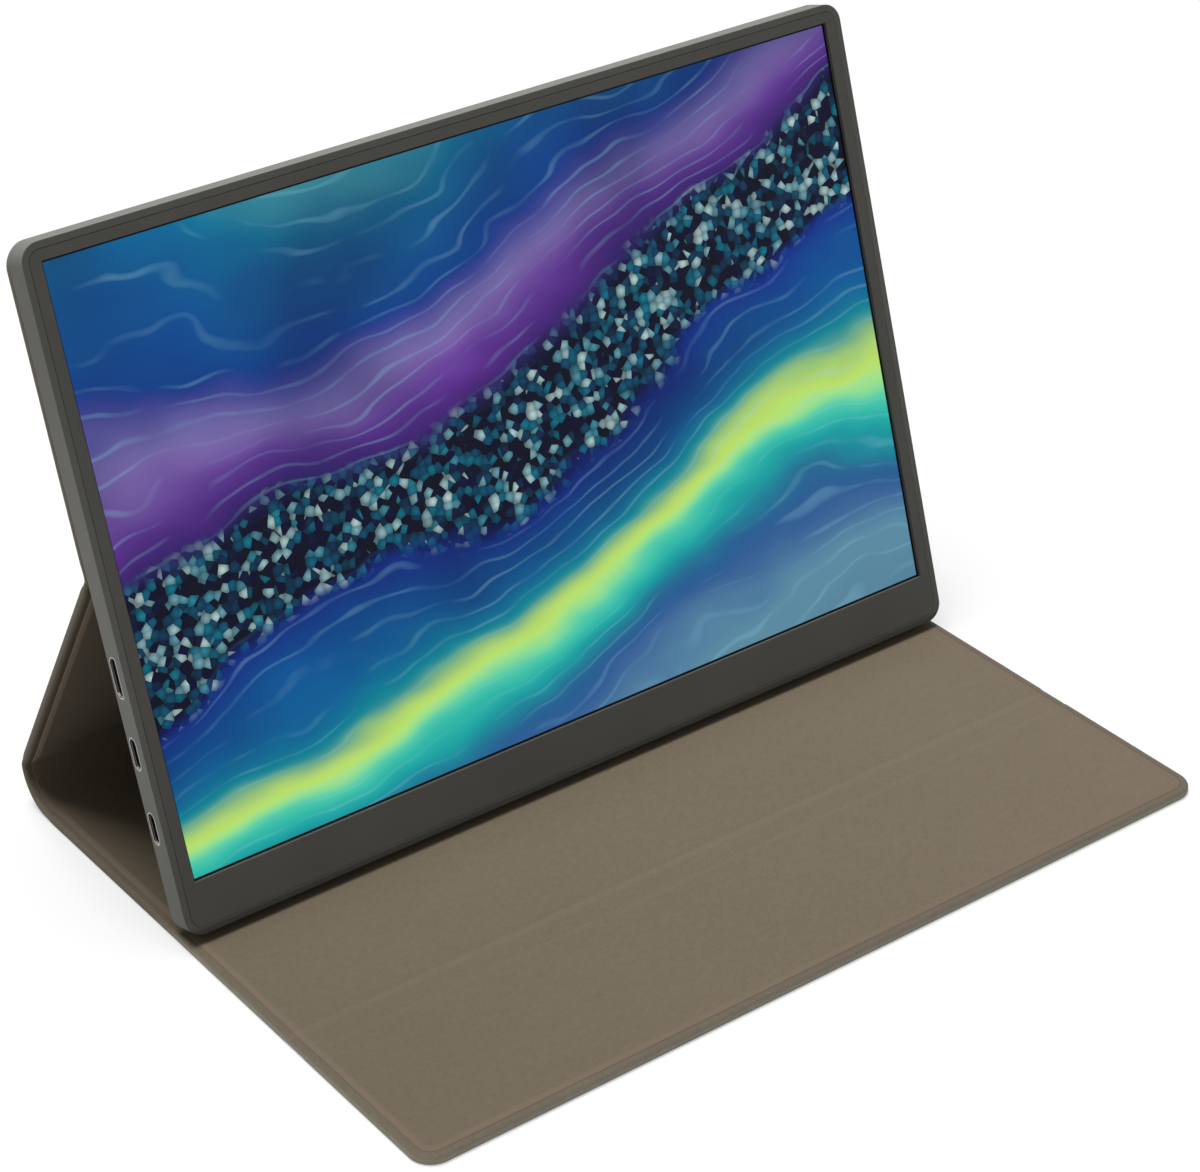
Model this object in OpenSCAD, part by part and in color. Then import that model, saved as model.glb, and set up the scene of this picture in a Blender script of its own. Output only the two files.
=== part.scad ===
// Portable monitor with a folding cover that is also its stand.
// Origin: on the table, below the middle of the monitor's front bottom edge.
// +X to the viewer's right, +Y to the back, +Z up. Millimetres.

/* [Screen] */
// Width of the lit picture
screen_w = 260; // [200:1:300]
// Height of the lit picture
screen_h = 173.3; // [150:0.1:200]
// Bezel beside the picture, lip included
side_bezel = 5.5; // [5:0.1:12]
// Bezel above the picture, lip included
top_bezel = 5.2; // [5:0.1:12]
// Bezel below the picture, lip included
chin_h = 14.9; // [14:0.1:25]
// Width of the shell's lip round the bezel plate
lip_w = 2.0; // [1.6:0.1:2.3]
// Gap between the lip and the bezel plate
lip_gap = 0.15; // [0.1:0.05:0.3]
// Thickness of the bezel plate, which is how deep the picture lies
bezel_t = 1.2; // [0.8:0.1:1.5]
// Thickness of the bezel's adhesive tape
tape_t = 0.15; // [0.1:0.05:0.2]

/* [Monitor body] */
// Depth of the body from front face to back
body_t = 9.0; // [8.8:0.1:14]
// Thickness of the shell's four side walls
side_wall = 1.5; // [1.2:0.1:1.7]
// Thickness of the shell's back wall
back_wall = 1.0; // [0.9:0.1:1.3]
// Radius of the body's corners seen from the front
corner_r = 5.5; // [4:0.5:8]
// Rounding along the body's rear edge
rear_edge_r = 1.2; // [0.6:0.1:2]

/* [Display panel] */
// Thickness of the liquid crystal cell
cell_t = 0.7; // [0.5:0.1:0.8]
// Dark border of the cell outside the lit picture
cell_border = 1.5; // [1:0.1:1.6]
// Ledge of the cell below the picture, where its drivers sit
cell_ledge = 4; // [3:0.5:5]
// Thickness of the film stack
film_t = 0.25; // [0.15:0.05:0.3]
// Thickness of the light guide
guide_t = 0.5; // [0.3:0.1:0.6]
// Thickness of the reflector sheet
reflector_t = 0.1; // [0.08:0.02:0.14]
// Thickness of the metal tray
tray_t = 0.25; // [0.2:0.05:0.3]
// Height of the row of light emitters
led_h = 1.0; // [0.8:0.1:1.4]
// Number of light emitters in the row
led_count = 36; // [12:1:48]

/* [Ports] */
// Height of the mini video socket above the bottom edge
hdmi_v = 75.3; // [70:0.1:80]
// Height of the upper round-ended socket above the bottom edge
usb_upper_v = 53.5; // [50:0.1:58]
// Height of the lower round-ended socket above the bottom edge
usb_lower_v = 31.8; // [28:0.1:38]
// Depth of all socket centres behind the front face
port_w = 5.15; // [5:0.05:5.4]
// Width of the round-ended socket's shell
usb_w = 8.94; // [8.9:0.01:9.1]
// Height of the round-ended socket's shell
usb_h = 3.2; // [3.1:0.01:3.26]
// Width of the mini video socket's shell
hdmi_w = 11.2; // [10.8:0.1:11.6]
// Height of the mini video socket's shell
hdmi_h = 3.2; // [3:0.1:3.2]
// Wall of the sockets' metal shells
socket_wall = 0.3; // [0.2:0.05:0.35]
// Depth of the sockets from mouth to back
socket_depth = 7.4; // [6.8:0.1:8]
// How far the socket mouths lie behind the side face
socket_recess = 0.5; // [0.3:0.1:0.8]
// Width of the bright rim round each socket
rim_w = 0.35; // [0.25:0.05:0.4]
// Radius of the headphone socket's bore
jack_r = 1.8; // [1.76:0.01:1.85]
// Length of the headphone socket's bore
jack_len = 12; // [11:0.5:14]
// Height of the headphone socket above the bottom edge
jack_v = 62; // [56:1:68]

/* [Controls] */
// Distance between the ends of the menu rocker and the power button
key_space = 10.5; // [9:0.5:16]
// Length of the power button
power_len = 9; // [7:0.5:11]
// Width of the power button and of the menu rocker
key_w = 2.8; // [2.4:0.1:3.2]
// Travel of the power button
power_travel = 0.4; // [0.3:0.05:0.5]
// Height of the menu rocker's centre above the bottom edge
rocker_v = 94; // [88:1:98]
// Length of the menu rocker
rocker_len = 18; // [14:1:20]
// Tilt of the menu rocker to each side, in degrees
rocker_tilt = 2.5; // [1.5:0.5:3]
// Radius of the rocker's pin
rocker_pin_r = 0.5; // [0.4:0.05:0.6]
// How far the keys stand out of the side face
key_proud = 0.5; // [0.3:0.1:0.8]
// Gap round each key in the side wall
key_gap = 0.3; // [0.3:0.05:0.45]

/* [Inside] */
// Width of the controller board
board_w = 58; // [50:1:70]
// Thickness of the controller board
board_t = 0.8; // [0.6:0.1:0.8]
// Radius of the board screws
screw_r = 0.7; // [0.5:0.05:0.8]
// Width of each speaker
speaker_w = 34; // [26:1:36]
// Height of each speaker
speaker_h = 11; // [9:0.5:11.5]
// Thickness of each speaker
speaker_t = 3.4; // [3:0.1:3.8]

/* [Cover] */
// Thickness of the cover's panels
cover_t = 2.6; // [2.4:0.1:4]
// How far the cover stays inside the monitor's sides
cover_inset = 0.6; // [0:0.1:2]
// Thickness of the outer skin
skin_t = 0.7; // [0.4:0.05:0.8]
// Thickness of the soft lining
lining_t = 0.7; // [0.4:0.05:0.8]
// Width of the skin that is turned in round the edge
hem_w = 4.1; // [3:0.1:8]
// Radius of the cover's outer corners
cover_corner_r = 7; // [3:0.5:12]
// Length of the front flap, from its crease to its edge
flap_len = 60.1; // [50:0.1:70]
// Width of the soft crease between flap and base
crease_w = 10.2; // [8:0.2:16]
// Length of soft spine, which wraps the monitor's thickness
spine_len = 18.06; // [17:0.02:24]
// Thickness of the steel sheet that holds the cover to the monitor's back
steel_t = 0.3; // [0.2:0.05:0.5]
// Thickness of the magnets in the cover
magnet_t = 1.0; // [0.8:0.1:1]

/* [Stand] */
// Lean of the screen back from upright, in degrees
lean = 17; // [13:0.5:20]
// Height of the back fold above the body's bottom edge
fold_v = 101.2; // [97:0.1:104]
// Length of the strut from the spine to the back fold
strut_len = 101.8; // [100:0.1:104]
// Air under the body's rear bottom edge
foot_gap = 0.3; // [0.2:0.05:0.6]
// Gap between a rounded crease and the panel beyond it
crease_gap = 0.3; // [0.2:0.05:0.5]

/* [Hidden] */
$fn = 48;
eps = 0.01;

// Colours
shell_col = [0.45, 0.44, 0.42];
bezel_col = [0.22, 0.22, 0.20];
glass_col = [0.20, 0.32, 0.55];
film_col = [0.88, 0.89, 0.90];
skin_col = [0.34, 0.31, 0.27];
lining_col = [0.48, 0.44, 0.38];
stiffener_col = [0.62, 0.56, 0.45];
steel_col = [0.70, 0.71, 0.72];
pcb_col = [0.10, 0.30, 0.16];
flex_col = [0.55, 0.36, 0.12];
black_col = [0.08, 0.08, 0.08];

// Body
body_w = screen_w + 2 * side_bezel;
body_h = chin_h + screen_h + top_bezel;
side_x = body_w / 2;
inner_x = side_x - side_wall;
cavity_back = body_t - back_wall;
plate_inset = lip_w + lip_gap;

// Layers of the panel, by depth of their front faces
film_y = bezel_t + cell_t;
guide_y = film_y + film_t;
reflector_y = guide_y + guide_t;
tray_y = reflector_y + reflector_t;
tray_back = tray_y + tray_t;

// Outlines of the panel
cell_x = screen_w / 2 + cell_border;
cell_bottom = chin_h - cell_ledge;
cell_top = chin_h + screen_h + cell_border;
tray_gap = 0.2;
tray_wall = 0.3;
tray_x = cell_x + tray_gap + tray_wall;
tray_top = cell_top + tray_gap + tray_wall;
tray_clear = 0.2;
guide_bottom = cell_bottom + 0.6 + led_h;
tape_w = 0.5;
tape_inset = plate_inset + 0.1;

// Panel driver board and its films
driver_x = screen_w / 2 - 35;
driver_bottom = 4.5;
driver_top = cell_bottom - 0.7;
driver_y = bezel_t + cell_t / 2;
driver_t = 0.8;
flex_t = 0.1;
flex_w = 18;
flex_lap = 1.3;
flex_count = 6;

// Controller board and sockets
socket_x = -side_x + socket_recess;
board_x = socket_x + 2.2;
board_y = port_w + usb_h / 2;
board_bottom = usb_lower_v - 12;
board_top = hdmi_v + 12.5;
rim_depth = 0.8;
rim_clear = 0.05;
hdmi_corner_r = 0.45;
boss_r = 2.2;
screw_inset = 3.2;
screw_head_r = 1.5;
screw_head_t = 0.5;
cross_len = 1.8;
cross_w = 0.3;
cross_deep = 0.3;
screw_clear = 0.06;
ribbon_x = board_x + board_w - 17.2;
ribbon_w = 12;
ribbon_t = 0.15;
ribbon_y = board_y - 0.5;

// Keys, their board and the headphone socket
key_y = (tray_back + cavity_back) / 2;
pin_x = inner_x - 0.8;
ear_half = 0.9;
key_board_w = 9;
key_board_x = pin_x - ear_half - 0.5 - key_board_w;
key_board_y = key_y + 1.25;
key_board_bottom = jack_v + 4;
power_v = rocker_v + rocker_len / 2 + key_space + power_len / 2;
flange_lap = 1;
key_board_top = power_v + power_len / 2 + 3.5;
switch_x = key_board_x + key_board_w;
switch_nub = 0.3;
key_screw_vs = [key_board_bottom + 3.5, rocker_v + rocker_len / 2 + (key_space - flange_lap) / 2];
jack_half = min((cavity_back - tray_back) / 2, 2.6) - 0.05;
jack_forward = 0.25;
jack_y = cavity_back - jack_half - jack_forward;
jack_nose_r = jack_r + 0.4;
jack_mouth_x = side_x;
jack_block_half = 2.7;
cable_v = board_top - 12;
cable_w = 6;
cable_y = board_y - 0.5;

// Steel and magnets in the monitor
catch_len = 20;
catch_h = 9;
catch_t = 3;
catch_x = body_w * 0.26;
foot_strip_h = 3;
foot_strip_t = 1;
plate_side = 12;
plate_end = 8;

// Speakers
speaker_gap = 0.5;
speaker_x = inner_x - (corner_r - side_wall) - speaker_gap - speaker_w / 2;
speaker_y = cavity_back - speaker_t;
speaker_slot = 5;

// Screws, each [x, height, seat depth]
screw_places = concat(
    [for (x = [board_x + screw_inset, board_x + board_w - screw_inset],
        v = [board_bottom + screw_inset, board_top - screw_inset]) [x, v, board_y]],
    [for (v = key_screw_vs) [key_board_x + 2.6, v, key_board_y]]
);

// Side view, through the middle of each cover panel's thickness
half_t = cover_t / 2;
foot_z = cover_t + foot_gap + body_t * sin(lean);
fold_w = body_t + steel_t + half_t;
fold_y = fold_v * sin(lean) + fold_w * cos(lean);
fold_z = foot_z + fold_v * cos(lean) - fold_w * sin(lean);
spine_r = spine_len * 2 / PI;
strut_foot_z = half_t + spine_r;
strut_foot_y = fold_y + sqrt(pow(strut_len, 2) - pow(fold_z - strut_foot_z, 2));
base_back = strut_foot_y - spine_r;
spine_foot_y = base_back + spine_r * (pow(PI, 2) / 4 - 2) / (PI - 2);
spine_foot_z = half_t;
spine_link = norm([strut_foot_y - spine_foot_y, strut_foot_z - spine_foot_z]);
spine_angle = atan2(strut_foot_z - spine_foot_z, strut_foot_y - spine_foot_y);
strut_angle = atan2(fold_z - strut_foot_z, fold_y - strut_foot_y);

// Cover panels
cover_w = body_w - 2 * cover_inset;
pad_t = cover_t - skin_t - lining_t;
skin_wall = 0.8;
board_gap = 0.15;
lining_gap = 0.05;
bead_r = half_t - 0.1;
panel_end = bead_r + crease_gap;
front_edge = base_back - body_h;
crease_y = front_edge + flap_len;
crease_half = crease_w / 2;
crease_split = 0.15;
crease_bead_r = 0.6;
web_lap = 1.0;
base_end = spine_foot_y - panel_end;
back_start = fold_v + panel_end;
back_end = body_h - cover_inset;

// Magnets in the cover: positions across as shares of its width
foot_magnet_xs = [-0.34, -0.11, 0.11, 0.34];
flap_magnet_xs = [-0.26, 0.26];
back_magnet_xs = [-0.36, -0.12, 0.12, 0.36];
foot_magnet_y = body_t * cos(lean) - 1;
flap_magnet_y = front_edge + 8.5;
back_magnet_v = (back_start + back_end) / 2;
magnet_len = 24;
magnet_w = 7;

echo(foot_z = foot_z, fold = [fold_y, fold_z], strut_foot = [strut_foot_y, strut_foot_z]);
echo(spine_foot = [spine_foot_y, spine_foot_z], crease = [crease_y, cover_t - lining_t]);
echo(front_edge = front_edge, base_back = base_back, spine_link = spine_link);
echo(spine_turn = spine_angle, strut_turn = strut_angle - spine_angle, back_turn = 90 - lean - strut_angle);

// ---- Shared forms ----

// The monitor's own frame: x across, y from front to back, z up the screen
module in_monitor() {
    translate([0, 0, foot_z]) rotate([-lean, 0, 0]) children();
}

// Box between two corners
module block(lo, hi) {
    translate(lo) cube(hi - lo);
}

// Flat rectangle, centred across, with rounded corners
module round_rect(w, v0, v1, r) {
    translate([-w / 2 + r, v0]) square([w - 2 * r, v1 - v0]);
    translate([-w / 2, v0 + r]) square([w, v1 - v0 - 2 * r]);
    for (x = [-w / 2 + r, w / 2 - r], v = [v0 + r, v1 - r])
        translate([x, v]) circle(r);
}

// That rectangle standing up, from depth y0 to depth y1
module upright(w, v0, v1, y0, y1, r) {
    translate([0, y1, 0]) rotate([90, 0, 0]) linear_extrude(y1 - y0) round_rect(w, v0, v1, r);
}

// Outline drawn as [depth, height], carried across from x0 to x1
module across(x0, x1) {
    translate([x0, 0, 0]) rotate([90, 0, 90]) linear_extrude(x1 - x0) children();
}

// Slot outline with round ends, its long side up the screen
module slot(len, w) {
    translate([-w / 2, -(len - w) / 2]) square([w, len - w]);
    for (s = [-1, 1]) translate([0, s * (len - w) / 2]) circle(w / 2);
}

module side_slot(x0, x1, y, v, len, w) {
    across(x0, x1) translate([y, v]) slot(len, w);
}

// Cylinder along the depth
module deep_rod(x, y0, y1, v, r) {
    translate([x, y0, v]) rotate([-90, 0, 0]) cylinder(h = y1 - y0, r = r);
}

// ---- Shell and front of the monitor ----

// Section of the shell's rim: full depth, with the rear edge rounded
module rim_section() {
    square([corner_r, body_t - rear_edge_r]);
    square([corner_r - rear_edge_r, body_t]);
    translate([corner_r - rear_edge_r, body_t - rear_edge_r]) circle(rear_edge_r);
}

module shell_corner(x, v, turn) {
    translate([x, 0, v]) rotate([-90, 0, 0]) rotate([0, 0, turn])
        rotate_extrude(angle = 90) rim_section();
}

// Solid form of the body: four turned corners, four sides and the middle
module body_form() {
    cx = side_x - corner_r;
    shell_corner(cx, corner_r, 0);
    shell_corner(-cx, corner_r, 90);
    shell_corner(-cx, body_h - corner_r, 180);
    shell_corner(cx, body_h - corner_r, 270);
    translate([cx, 0, corner_r]) linear_extrude(body_h - 2 * corner_r) rim_section();
    mirror([1, 0, 0]) translate([cx, 0, corner_r]) linear_extrude(body_h - 2 * corner_r) rim_section();
    translate([-cx, 0, body_h - corner_r]) rotate([90, 0, 90]) linear_extrude(2 * cx) turned_section();
    translate([-cx, 0, corner_r]) mirror([0, 0, 1]) rotate([90, 0, 90])
        linear_extrude(2 * cx) turned_section();
    block([-cx, 0, corner_r], [cx, body_t, body_h - corner_r]);
}

// The same section drawn as [depth, distance out]
module turned_section() {
    mirror([1, -1]) rim_section();
}

module port_slots(grow, x0, x1) {
    for (v = [usb_upper_v, usb_lower_v])
        side_slot(x0, x1, port_w, v, usb_w + 2 * grow, usb_h + 2 * grow);
    across(x0, x1) translate([port_w, hdmi_v]) hdmi_outline(grow);
}

module key_slot(v, len) {
    side_slot(inner_x - 1, side_x + 1, key_y, v, len + 2 * key_gap, key_w + 2 * key_gap);
}

module speaker_slots() {
    for (s = [-1, 1], i = [-2:2])
        translate([s * speaker_x + i * (speaker_slot + 1.3), speaker_y + speaker_t / 2, -1])
            linear_extrude(side_wall + 2) rotate([0, 0, 90]) slot(speaker_slot, 1);
}

// Posts that the boards are screwed to
module board_posts() {
    for (p = screw_places)
        difference() {
            deep_rod(p[0], p[2] + board_t, cavity_back + 0.2, p[1], boss_r);
            deep_rod(p[0], p[2] + board_t - 1, cavity_back + 0.1, p[1], screw_r + screw_clear);
        }
}

// Ears inside the side wall that hold the rocker's pin
module rocker_ears() {
    gap = key_w / 2 + key_gap;
    difference() {
        union() {
            block([pin_x - ear_half, tray_back + 0.1, rocker_v - 2],
                [inner_x + 0.2, key_y - gap, rocker_v + 2]);
            block([pin_x - ear_half, key_y + gap, rocker_v - 2],
                [inner_x + 0.2, cavity_back + 0.2, rocker_v + 2]);
        }
        deep_rod(pin_x, tray_back - 1, cavity_back, rocker_v, rocker_pin_r + 0.03);
    }
}

// Ribs on the back wall that hold the headphone socket
module jack_ribs() {
    for (s = [-1, 1])
        block([inner_x - 3.4, jack_y - 1, jack_v + s * (jack_block_half + 0.45) - 0.4],
            [inner_x - 1.8, cavity_back + 0.2, jack_v + s * (jack_block_half + 0.45) + 0.4]);
}

module rear_shell() color(shell_col) in_monitor() {
    difference() {
        body_form();
        upright(body_w - 2 * lip_w, lip_w, body_h - lip_w, -1, bezel_t + tape_t, corner_r - lip_w);
        block([-tray_x - tray_clear, bezel_t, driver_bottom - 1],
            [tray_x + tray_clear, tray_back + 0.5, tray_top + tray_clear]);
        upright(2 * inner_x, side_wall, body_h - side_wall, tray_back, cavity_back, corner_r - side_wall);
        port_slots(rim_w + rim_clear, -side_x - 1, -side_x + rim_depth);
        port_slots(rim_clear, -side_x - 1, -inner_x + 1);
        translate([inner_x - 1, jack_y, jack_v]) rotate([0, 90, 0])
            cylinder(h = side_wall + 2, r = jack_nose_r + 0.05);
        key_slot(power_v, power_len);
        key_slot(rocker_v, rocker_len);
        speaker_slots();
    }
    board_posts();
    rocker_ears();
    jack_ribs();
}

module front_bezel() color(bezel_col) in_monitor() {
    difference() {
        upright(body_w - 2 * plate_inset, plate_inset, body_h - plate_inset,
            0, bezel_t, corner_r - plate_inset);
        block([-screen_w / 2, -1, chin_h], [screen_w / 2, bezel_t + 1, chin_h + screen_h]);
    }
}

module bezel_tape() color(black_col) in_monitor() {
    x = side_x - tape_inset;
    for (s = [0, 1]) mirror([s, 0, 0])
        block([x - tape_w, bezel_t, corner_r], [x, bezel_t + tape_t, body_h - corner_r]);
    for (v = [tape_inset, body_h - tape_inset - tape_w])
        block([-side_x + corner_r, bezel_t, v], [side_x - corner_r, bezel_t + tape_t, v + tape_w]);
}

// ---- Display panel, from front to back ----

// Two sheets of glass: the rear one is longer below, and carries the drivers
module lcd_cell() color(glass_col) in_monitor() {
    block([-cell_x, bezel_t, chin_h - 1.5], [cell_x, film_y, cell_top]);
    block([-cell_x, bezel_t + cell_t / 2, cell_bottom], [cell_x, film_y, chin_h - 1]);
}

module optical_films() color(film_col) in_monitor() {
    block([-cell_x + 0.5, film_y, guide_bottom], [cell_x - 0.5, guide_y, cell_top - 0.5]);
}

module light_guide() color([0.80, 0.90, 0.94]) in_monitor() {
    block([-cell_x + 0.4, guide_y, guide_bottom], [cell_x - 0.4, reflector_y, cell_top - 0.4]);
}

module reflector_sheet() color([0.95, 0.95, 0.93]) in_monitor() {
    block([-cell_x + 0.5, reflector_y, guide_bottom], [cell_x - 0.5, tray_y, cell_top - 0.5]);
}

// Emitters below the light guide, on their strip
module led_strip() color([0.92, 0.88, 0.50]) in_monitor() {
    strip_t = 0.15;
    bottom = guide_bottom - led_h - 0.05;
    pitch = (2 * cell_x - 12) / led_count;
    block([-cell_x + 2, tray_y - strip_t, bottom - 0.3], [cell_x - 2, tray_y, guide_bottom - 0.05]);
    for (i = [0:led_count - 1])
        block([-cell_x + 6 + (i + 0.2) * pitch, guide_y, bottom],
            [-cell_x + 6 + (i + 0.8) * pitch, tray_y - strip_t + eps, guide_bottom - 0.05]);
}

module panel_tray() color(steel_col) in_monitor() {
    bottom = cell_bottom - 0.3;
    block([-tray_x, tray_y, bottom], [tray_x, tray_back, tray_top]);
    for (s = [0, 1]) mirror([s, 0, 0])
        block([tray_x - tray_wall, bezel_t, bottom], [tray_x, tray_back, tray_top]);
    block([-tray_x, bezel_t, tray_top - tray_wall], [tray_x, tray_back, tray_top]);
    for (s = [0, 1]) mirror([s, 0, 0]) {
        block([driver_x - 30, tray_y, driver_bottom], [driver_x - 20, tray_back, bottom + 1]);
        block([driver_x - 30, driver_y + driver_t, driver_bottom],
            [driver_x - 20, tray_back, driver_top - 1]);
    }
}

// Strip of circuit board below the glass
module panel_driver_board() color(pcb_col) in_monitor() {
    difference() {
        block([-driver_x, driver_y, driver_bottom], [driver_x, driver_y + driver_t, driver_top]);
        for (s = [-1, 1])
            deep_rod(s * (driver_x - 3), driver_y - 1, driver_y + 2,
                (driver_bottom + driver_top) / 2, 0.8);
    }
}

// Films that join the glass to the driver board
module panel_flexes() color(flex_col) in_monitor() {
    pitch = screen_w / 8;
    for (i = [0:flex_count - 1])
        translate([(i - (flex_count - 1) / 2) * pitch, 0, 0])
            block([-flex_w / 2, driver_y - flex_t, driver_top - flex_lap],
                [flex_w / 2, driver_y, cell_bottom + flex_lap]);
}

// Ribbon from the driver board to the controller board, with a connector at each end
module panel_ribbon() color(flex_col) in_monitor() {
    block([ribbon_x, driver_y + driver_t, driver_bottom + 0.3],
        [ribbon_x + ribbon_w, ribbon_y + ribbon_t, driver_bottom + 1.4]);
    block([ribbon_x, ribbon_y, driver_bottom + 0.3],
        [ribbon_x + ribbon_w, ribbon_y + ribbon_t, board_bottom + 6]);
    block([ribbon_x, ribbon_y, board_bottom + 3], [ribbon_x + ribbon_w, board_y, board_bottom + 6]);
}

// ---- Electronics ----

module controller_board() color(pcb_col) in_monitor() {
    difference() {
        block([board_x, board_y, board_bottom], [board_x + board_w, board_y + board_t, board_top]);
        for (p = screw_places)
            deep_rod(p[0], board_y - 1, board_y + board_t + 1, p[1], screw_r + screw_clear);
    }
}

// Chips and coils on the controller board, each [x, height, width, length, thickness]
chip_places = [
    [24, 28, 14, 14, 1.0], [24, 48, 8, 8, 0.9], [36, 47, 9, 6, 1.0],
    [12, 14, 6, 6, 1.4], [12, 36, 5, 4, 1.6], [42, 28, 7, 7, 1.2]
];

module board_chips() color(black_col) in_monitor() {
    for (c = chip_places)
        block([board_x + c[0], board_y - c[4], board_bottom + c[1]],
            [board_x + c[0] + c[2], board_y, board_bottom + c[1] + c[3]]);
}

module board_screws() color(steel_col) in_monitor() {
    for (p = screw_places)
        difference() {
            union() {
                deep_rod(p[0], p[2] - screw_head_t, p[2], p[1], screw_head_r);
                deep_rod(p[0], p[2] - eps, cavity_back, p[1], screw_r);
            }
            for (size = [[cross_len, cross_w], [cross_w, cross_len]])
                block([p[0] - size[0] / 2, p[2] - screw_head_t - 1, p[1] - size[1] / 2],
                    [p[0] + size[0] / 2, p[2] - screw_head_t + cross_deep, p[1] + size[1] / 2]);
        }
}

// Round-ended socket: thin metal shell, flat tongue and closed rear
module usb_socket(v) color(steel_col) in_monitor() {
    rear = socket_x + socket_depth;
    difference() {
        side_slot(socket_x, rear, port_w, v, usb_w, usb_h);
        side_slot(socket_x - 1, rear - 1.2, port_w, v, usb_w - 2 * socket_wall, usb_h - 2 * socket_wall);
    }
    block([socket_x + 0.8, port_w - 0.35, v - 3.3], [rear - 1, port_w + 0.35, v + 3.3]);
}

module usb_c_socket_upper() usb_socket(usb_upper_v);
module usb_c_socket_lower() usb_socket(usb_lower_v);

// Mini video socket: two corners are cut off on the board's side, and the others are rounded
module hdmi_outline(grow) {
    w = hdmi_w + 2 * grow;
    h = hdmi_h + 2 * grow;
    cut = h * 0.36;
    intersection() {
        round_rect(h, -w / 2, w / 2, max(hdmi_corner_r + grow, 0.1));
        polygon([[-w, -w], [h / 2 - cut - w / 2, -w], [h / 2, -w / 2 + cut],
            [h / 2, w / 2 - cut], [h / 2 - cut - w / 2, w], [-w, w]]);
    }
}

module mini_hdmi_socket() color(steel_col) in_monitor() {
    rear = socket_x + socket_depth;
    difference() {
        across(socket_x, rear) translate([port_w, hdmi_v]) hdmi_outline(0);
        across(socket_x - 1, rear - 1.2) translate([port_w, hdmi_v]) hdmi_outline(-socket_wall);
    }
    block([socket_x + 0.8, port_w - 0.1, hdmi_v - 4.2], [rear - 1, port_w + 0.7, hdmi_v + 4.2]);
    block([rear - 3, port_w + hdmi_h / 2 - eps, hdmi_v - 3], [rear, board_y, hdmi_v + 3]);
}

// Bright rims set into the side face round the three sockets
module port_rims() color([0.82, 0.82, 0.80]) in_monitor() {
    difference() {
        port_slots(rim_w, -side_x, -side_x + rim_depth);
        port_slots(rim_clear, -side_x - 1, -side_x + rim_depth + 1);
    }
}

module audio_jack() color(black_col) in_monitor() {
    rear = jack_mouth_x - jack_len - 1;
    difference() {
        union() {
            translate([inner_x - 1, jack_y, jack_v]) rotate([0, 90, 0])
                cylinder(h = jack_mouth_x - inner_x + 1, r = jack_nose_r);
            block([rear, cavity_back - 2 * jack_half, jack_v - jack_block_half],
                [inner_x - 0.3, cavity_back, jack_v + jack_block_half]);
        }
        translate([rear + 1, jack_y, jack_v]) rotate([0, 90, 0]) cylinder(h = jack_len + 1, r = jack_r);
    }
    for (x = [rear + 2, rear + 4.5, rear + 7])
        block([x, key_board_y - 0.2, jack_v + jack_block_half - 0.2],
            [x + 0.8, key_board_y, key_board_bottom + 1.2]);
}

// ---- Keys on the right side ----

module key_board() color(pcb_col) in_monitor() {
    difference() {
        block([key_board_x, key_board_y, key_board_bottom],
            [switch_x, key_board_y + board_t, key_board_top]);
        for (v = key_screw_vs)
            deep_rod(key_board_x + 2.6, key_board_y - 1, key_board_y + board_t + 1,
                v, screw_r + screw_clear);
    }
}

rocker_reach = rocker_len * 0.3;

// Small switches that the keys press
module key_switches() color(steel_col) in_monitor() {
    for (v = [power_v, rocker_v - rocker_reach, rocker_v + rocker_reach]) {
        block([switch_x - 2, key_y - 0.9, v - 1.3], [switch_x, key_board_y, v + 1.3]);
        block([switch_x - eps, key_y - 0.5, v - 0.5], [switch_x + switch_nub, key_y + 0.5, v + 0.5]);
    }
}

// Flat cable from the controller board to the keys' board, with its two plugs
module key_cable() color(flex_col) in_monitor() {
    x0 = board_x + board_w - 5;
    x1 = key_board_x + 5;
    block([x0, cable_y, cable_v], [x1, cable_y + 0.15, cable_v + cable_w]);
    block([x0, cable_y, cable_v], [x0 + 4, board_y, cable_v + cable_w]);
    block([x1 - 4, cable_y, cable_v], [x1, key_board_y, cable_v + cable_w]);
}

// Cap, a flange that keeps it in, and a stem that meets the switch
module power_button() color(shell_col) in_monitor() {
    flange_x = inner_x - 0.8;
    side_slot(flange_x, side_x + key_proud, key_y, power_v, power_len, key_w);
    block([flange_x, key_y - key_w / 2, power_v - power_len / 2 - flange_lap],
        [flange_x + 0.5, key_y + key_w / 2, power_v + power_len / 2 + flange_lap]);
    block([switch_x + switch_nub + power_travel + 0.05, key_y - 0.6, power_v - 0.8],
        [flange_x + eps, key_y + 0.6, power_v + 0.8]);
}

// Cap that tips about its pin and presses one switch at each end
module menu_rocker() color(shell_col) in_monitor() {
    back_x = pin_x + 0.4;
    foot_x = switch_x + switch_nub + rocker_reach * sin(rocker_tilt) + 0.05;
    difference() {
        union() {
            side_slot(back_x, side_x + key_proud, key_y, rocker_v, rocker_len, key_w);
            deep_rod(pin_x, key_y - key_w / 2, key_y + key_w / 2, rocker_v, 1.1);
            for (s = [-1, 1])
                block([foot_x, key_y - 0.6, rocker_v + s * rocker_reach - 0.7],
                    [back_x + eps, key_y + 0.6, rocker_v + s * rocker_reach + 0.7]);
        }
        deep_rod(pin_x, key_y - key_w, key_y + key_w, rocker_v, rocker_pin_r + 0.04);
    }
}

module rocker_pin() color(steel_col) in_monitor() {
    deep_rod(pin_x, tray_back + 0.1, cavity_back, rocker_v, rocker_pin_r);
}

// ---- Speakers, steel and magnets in the monitor ----

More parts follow.
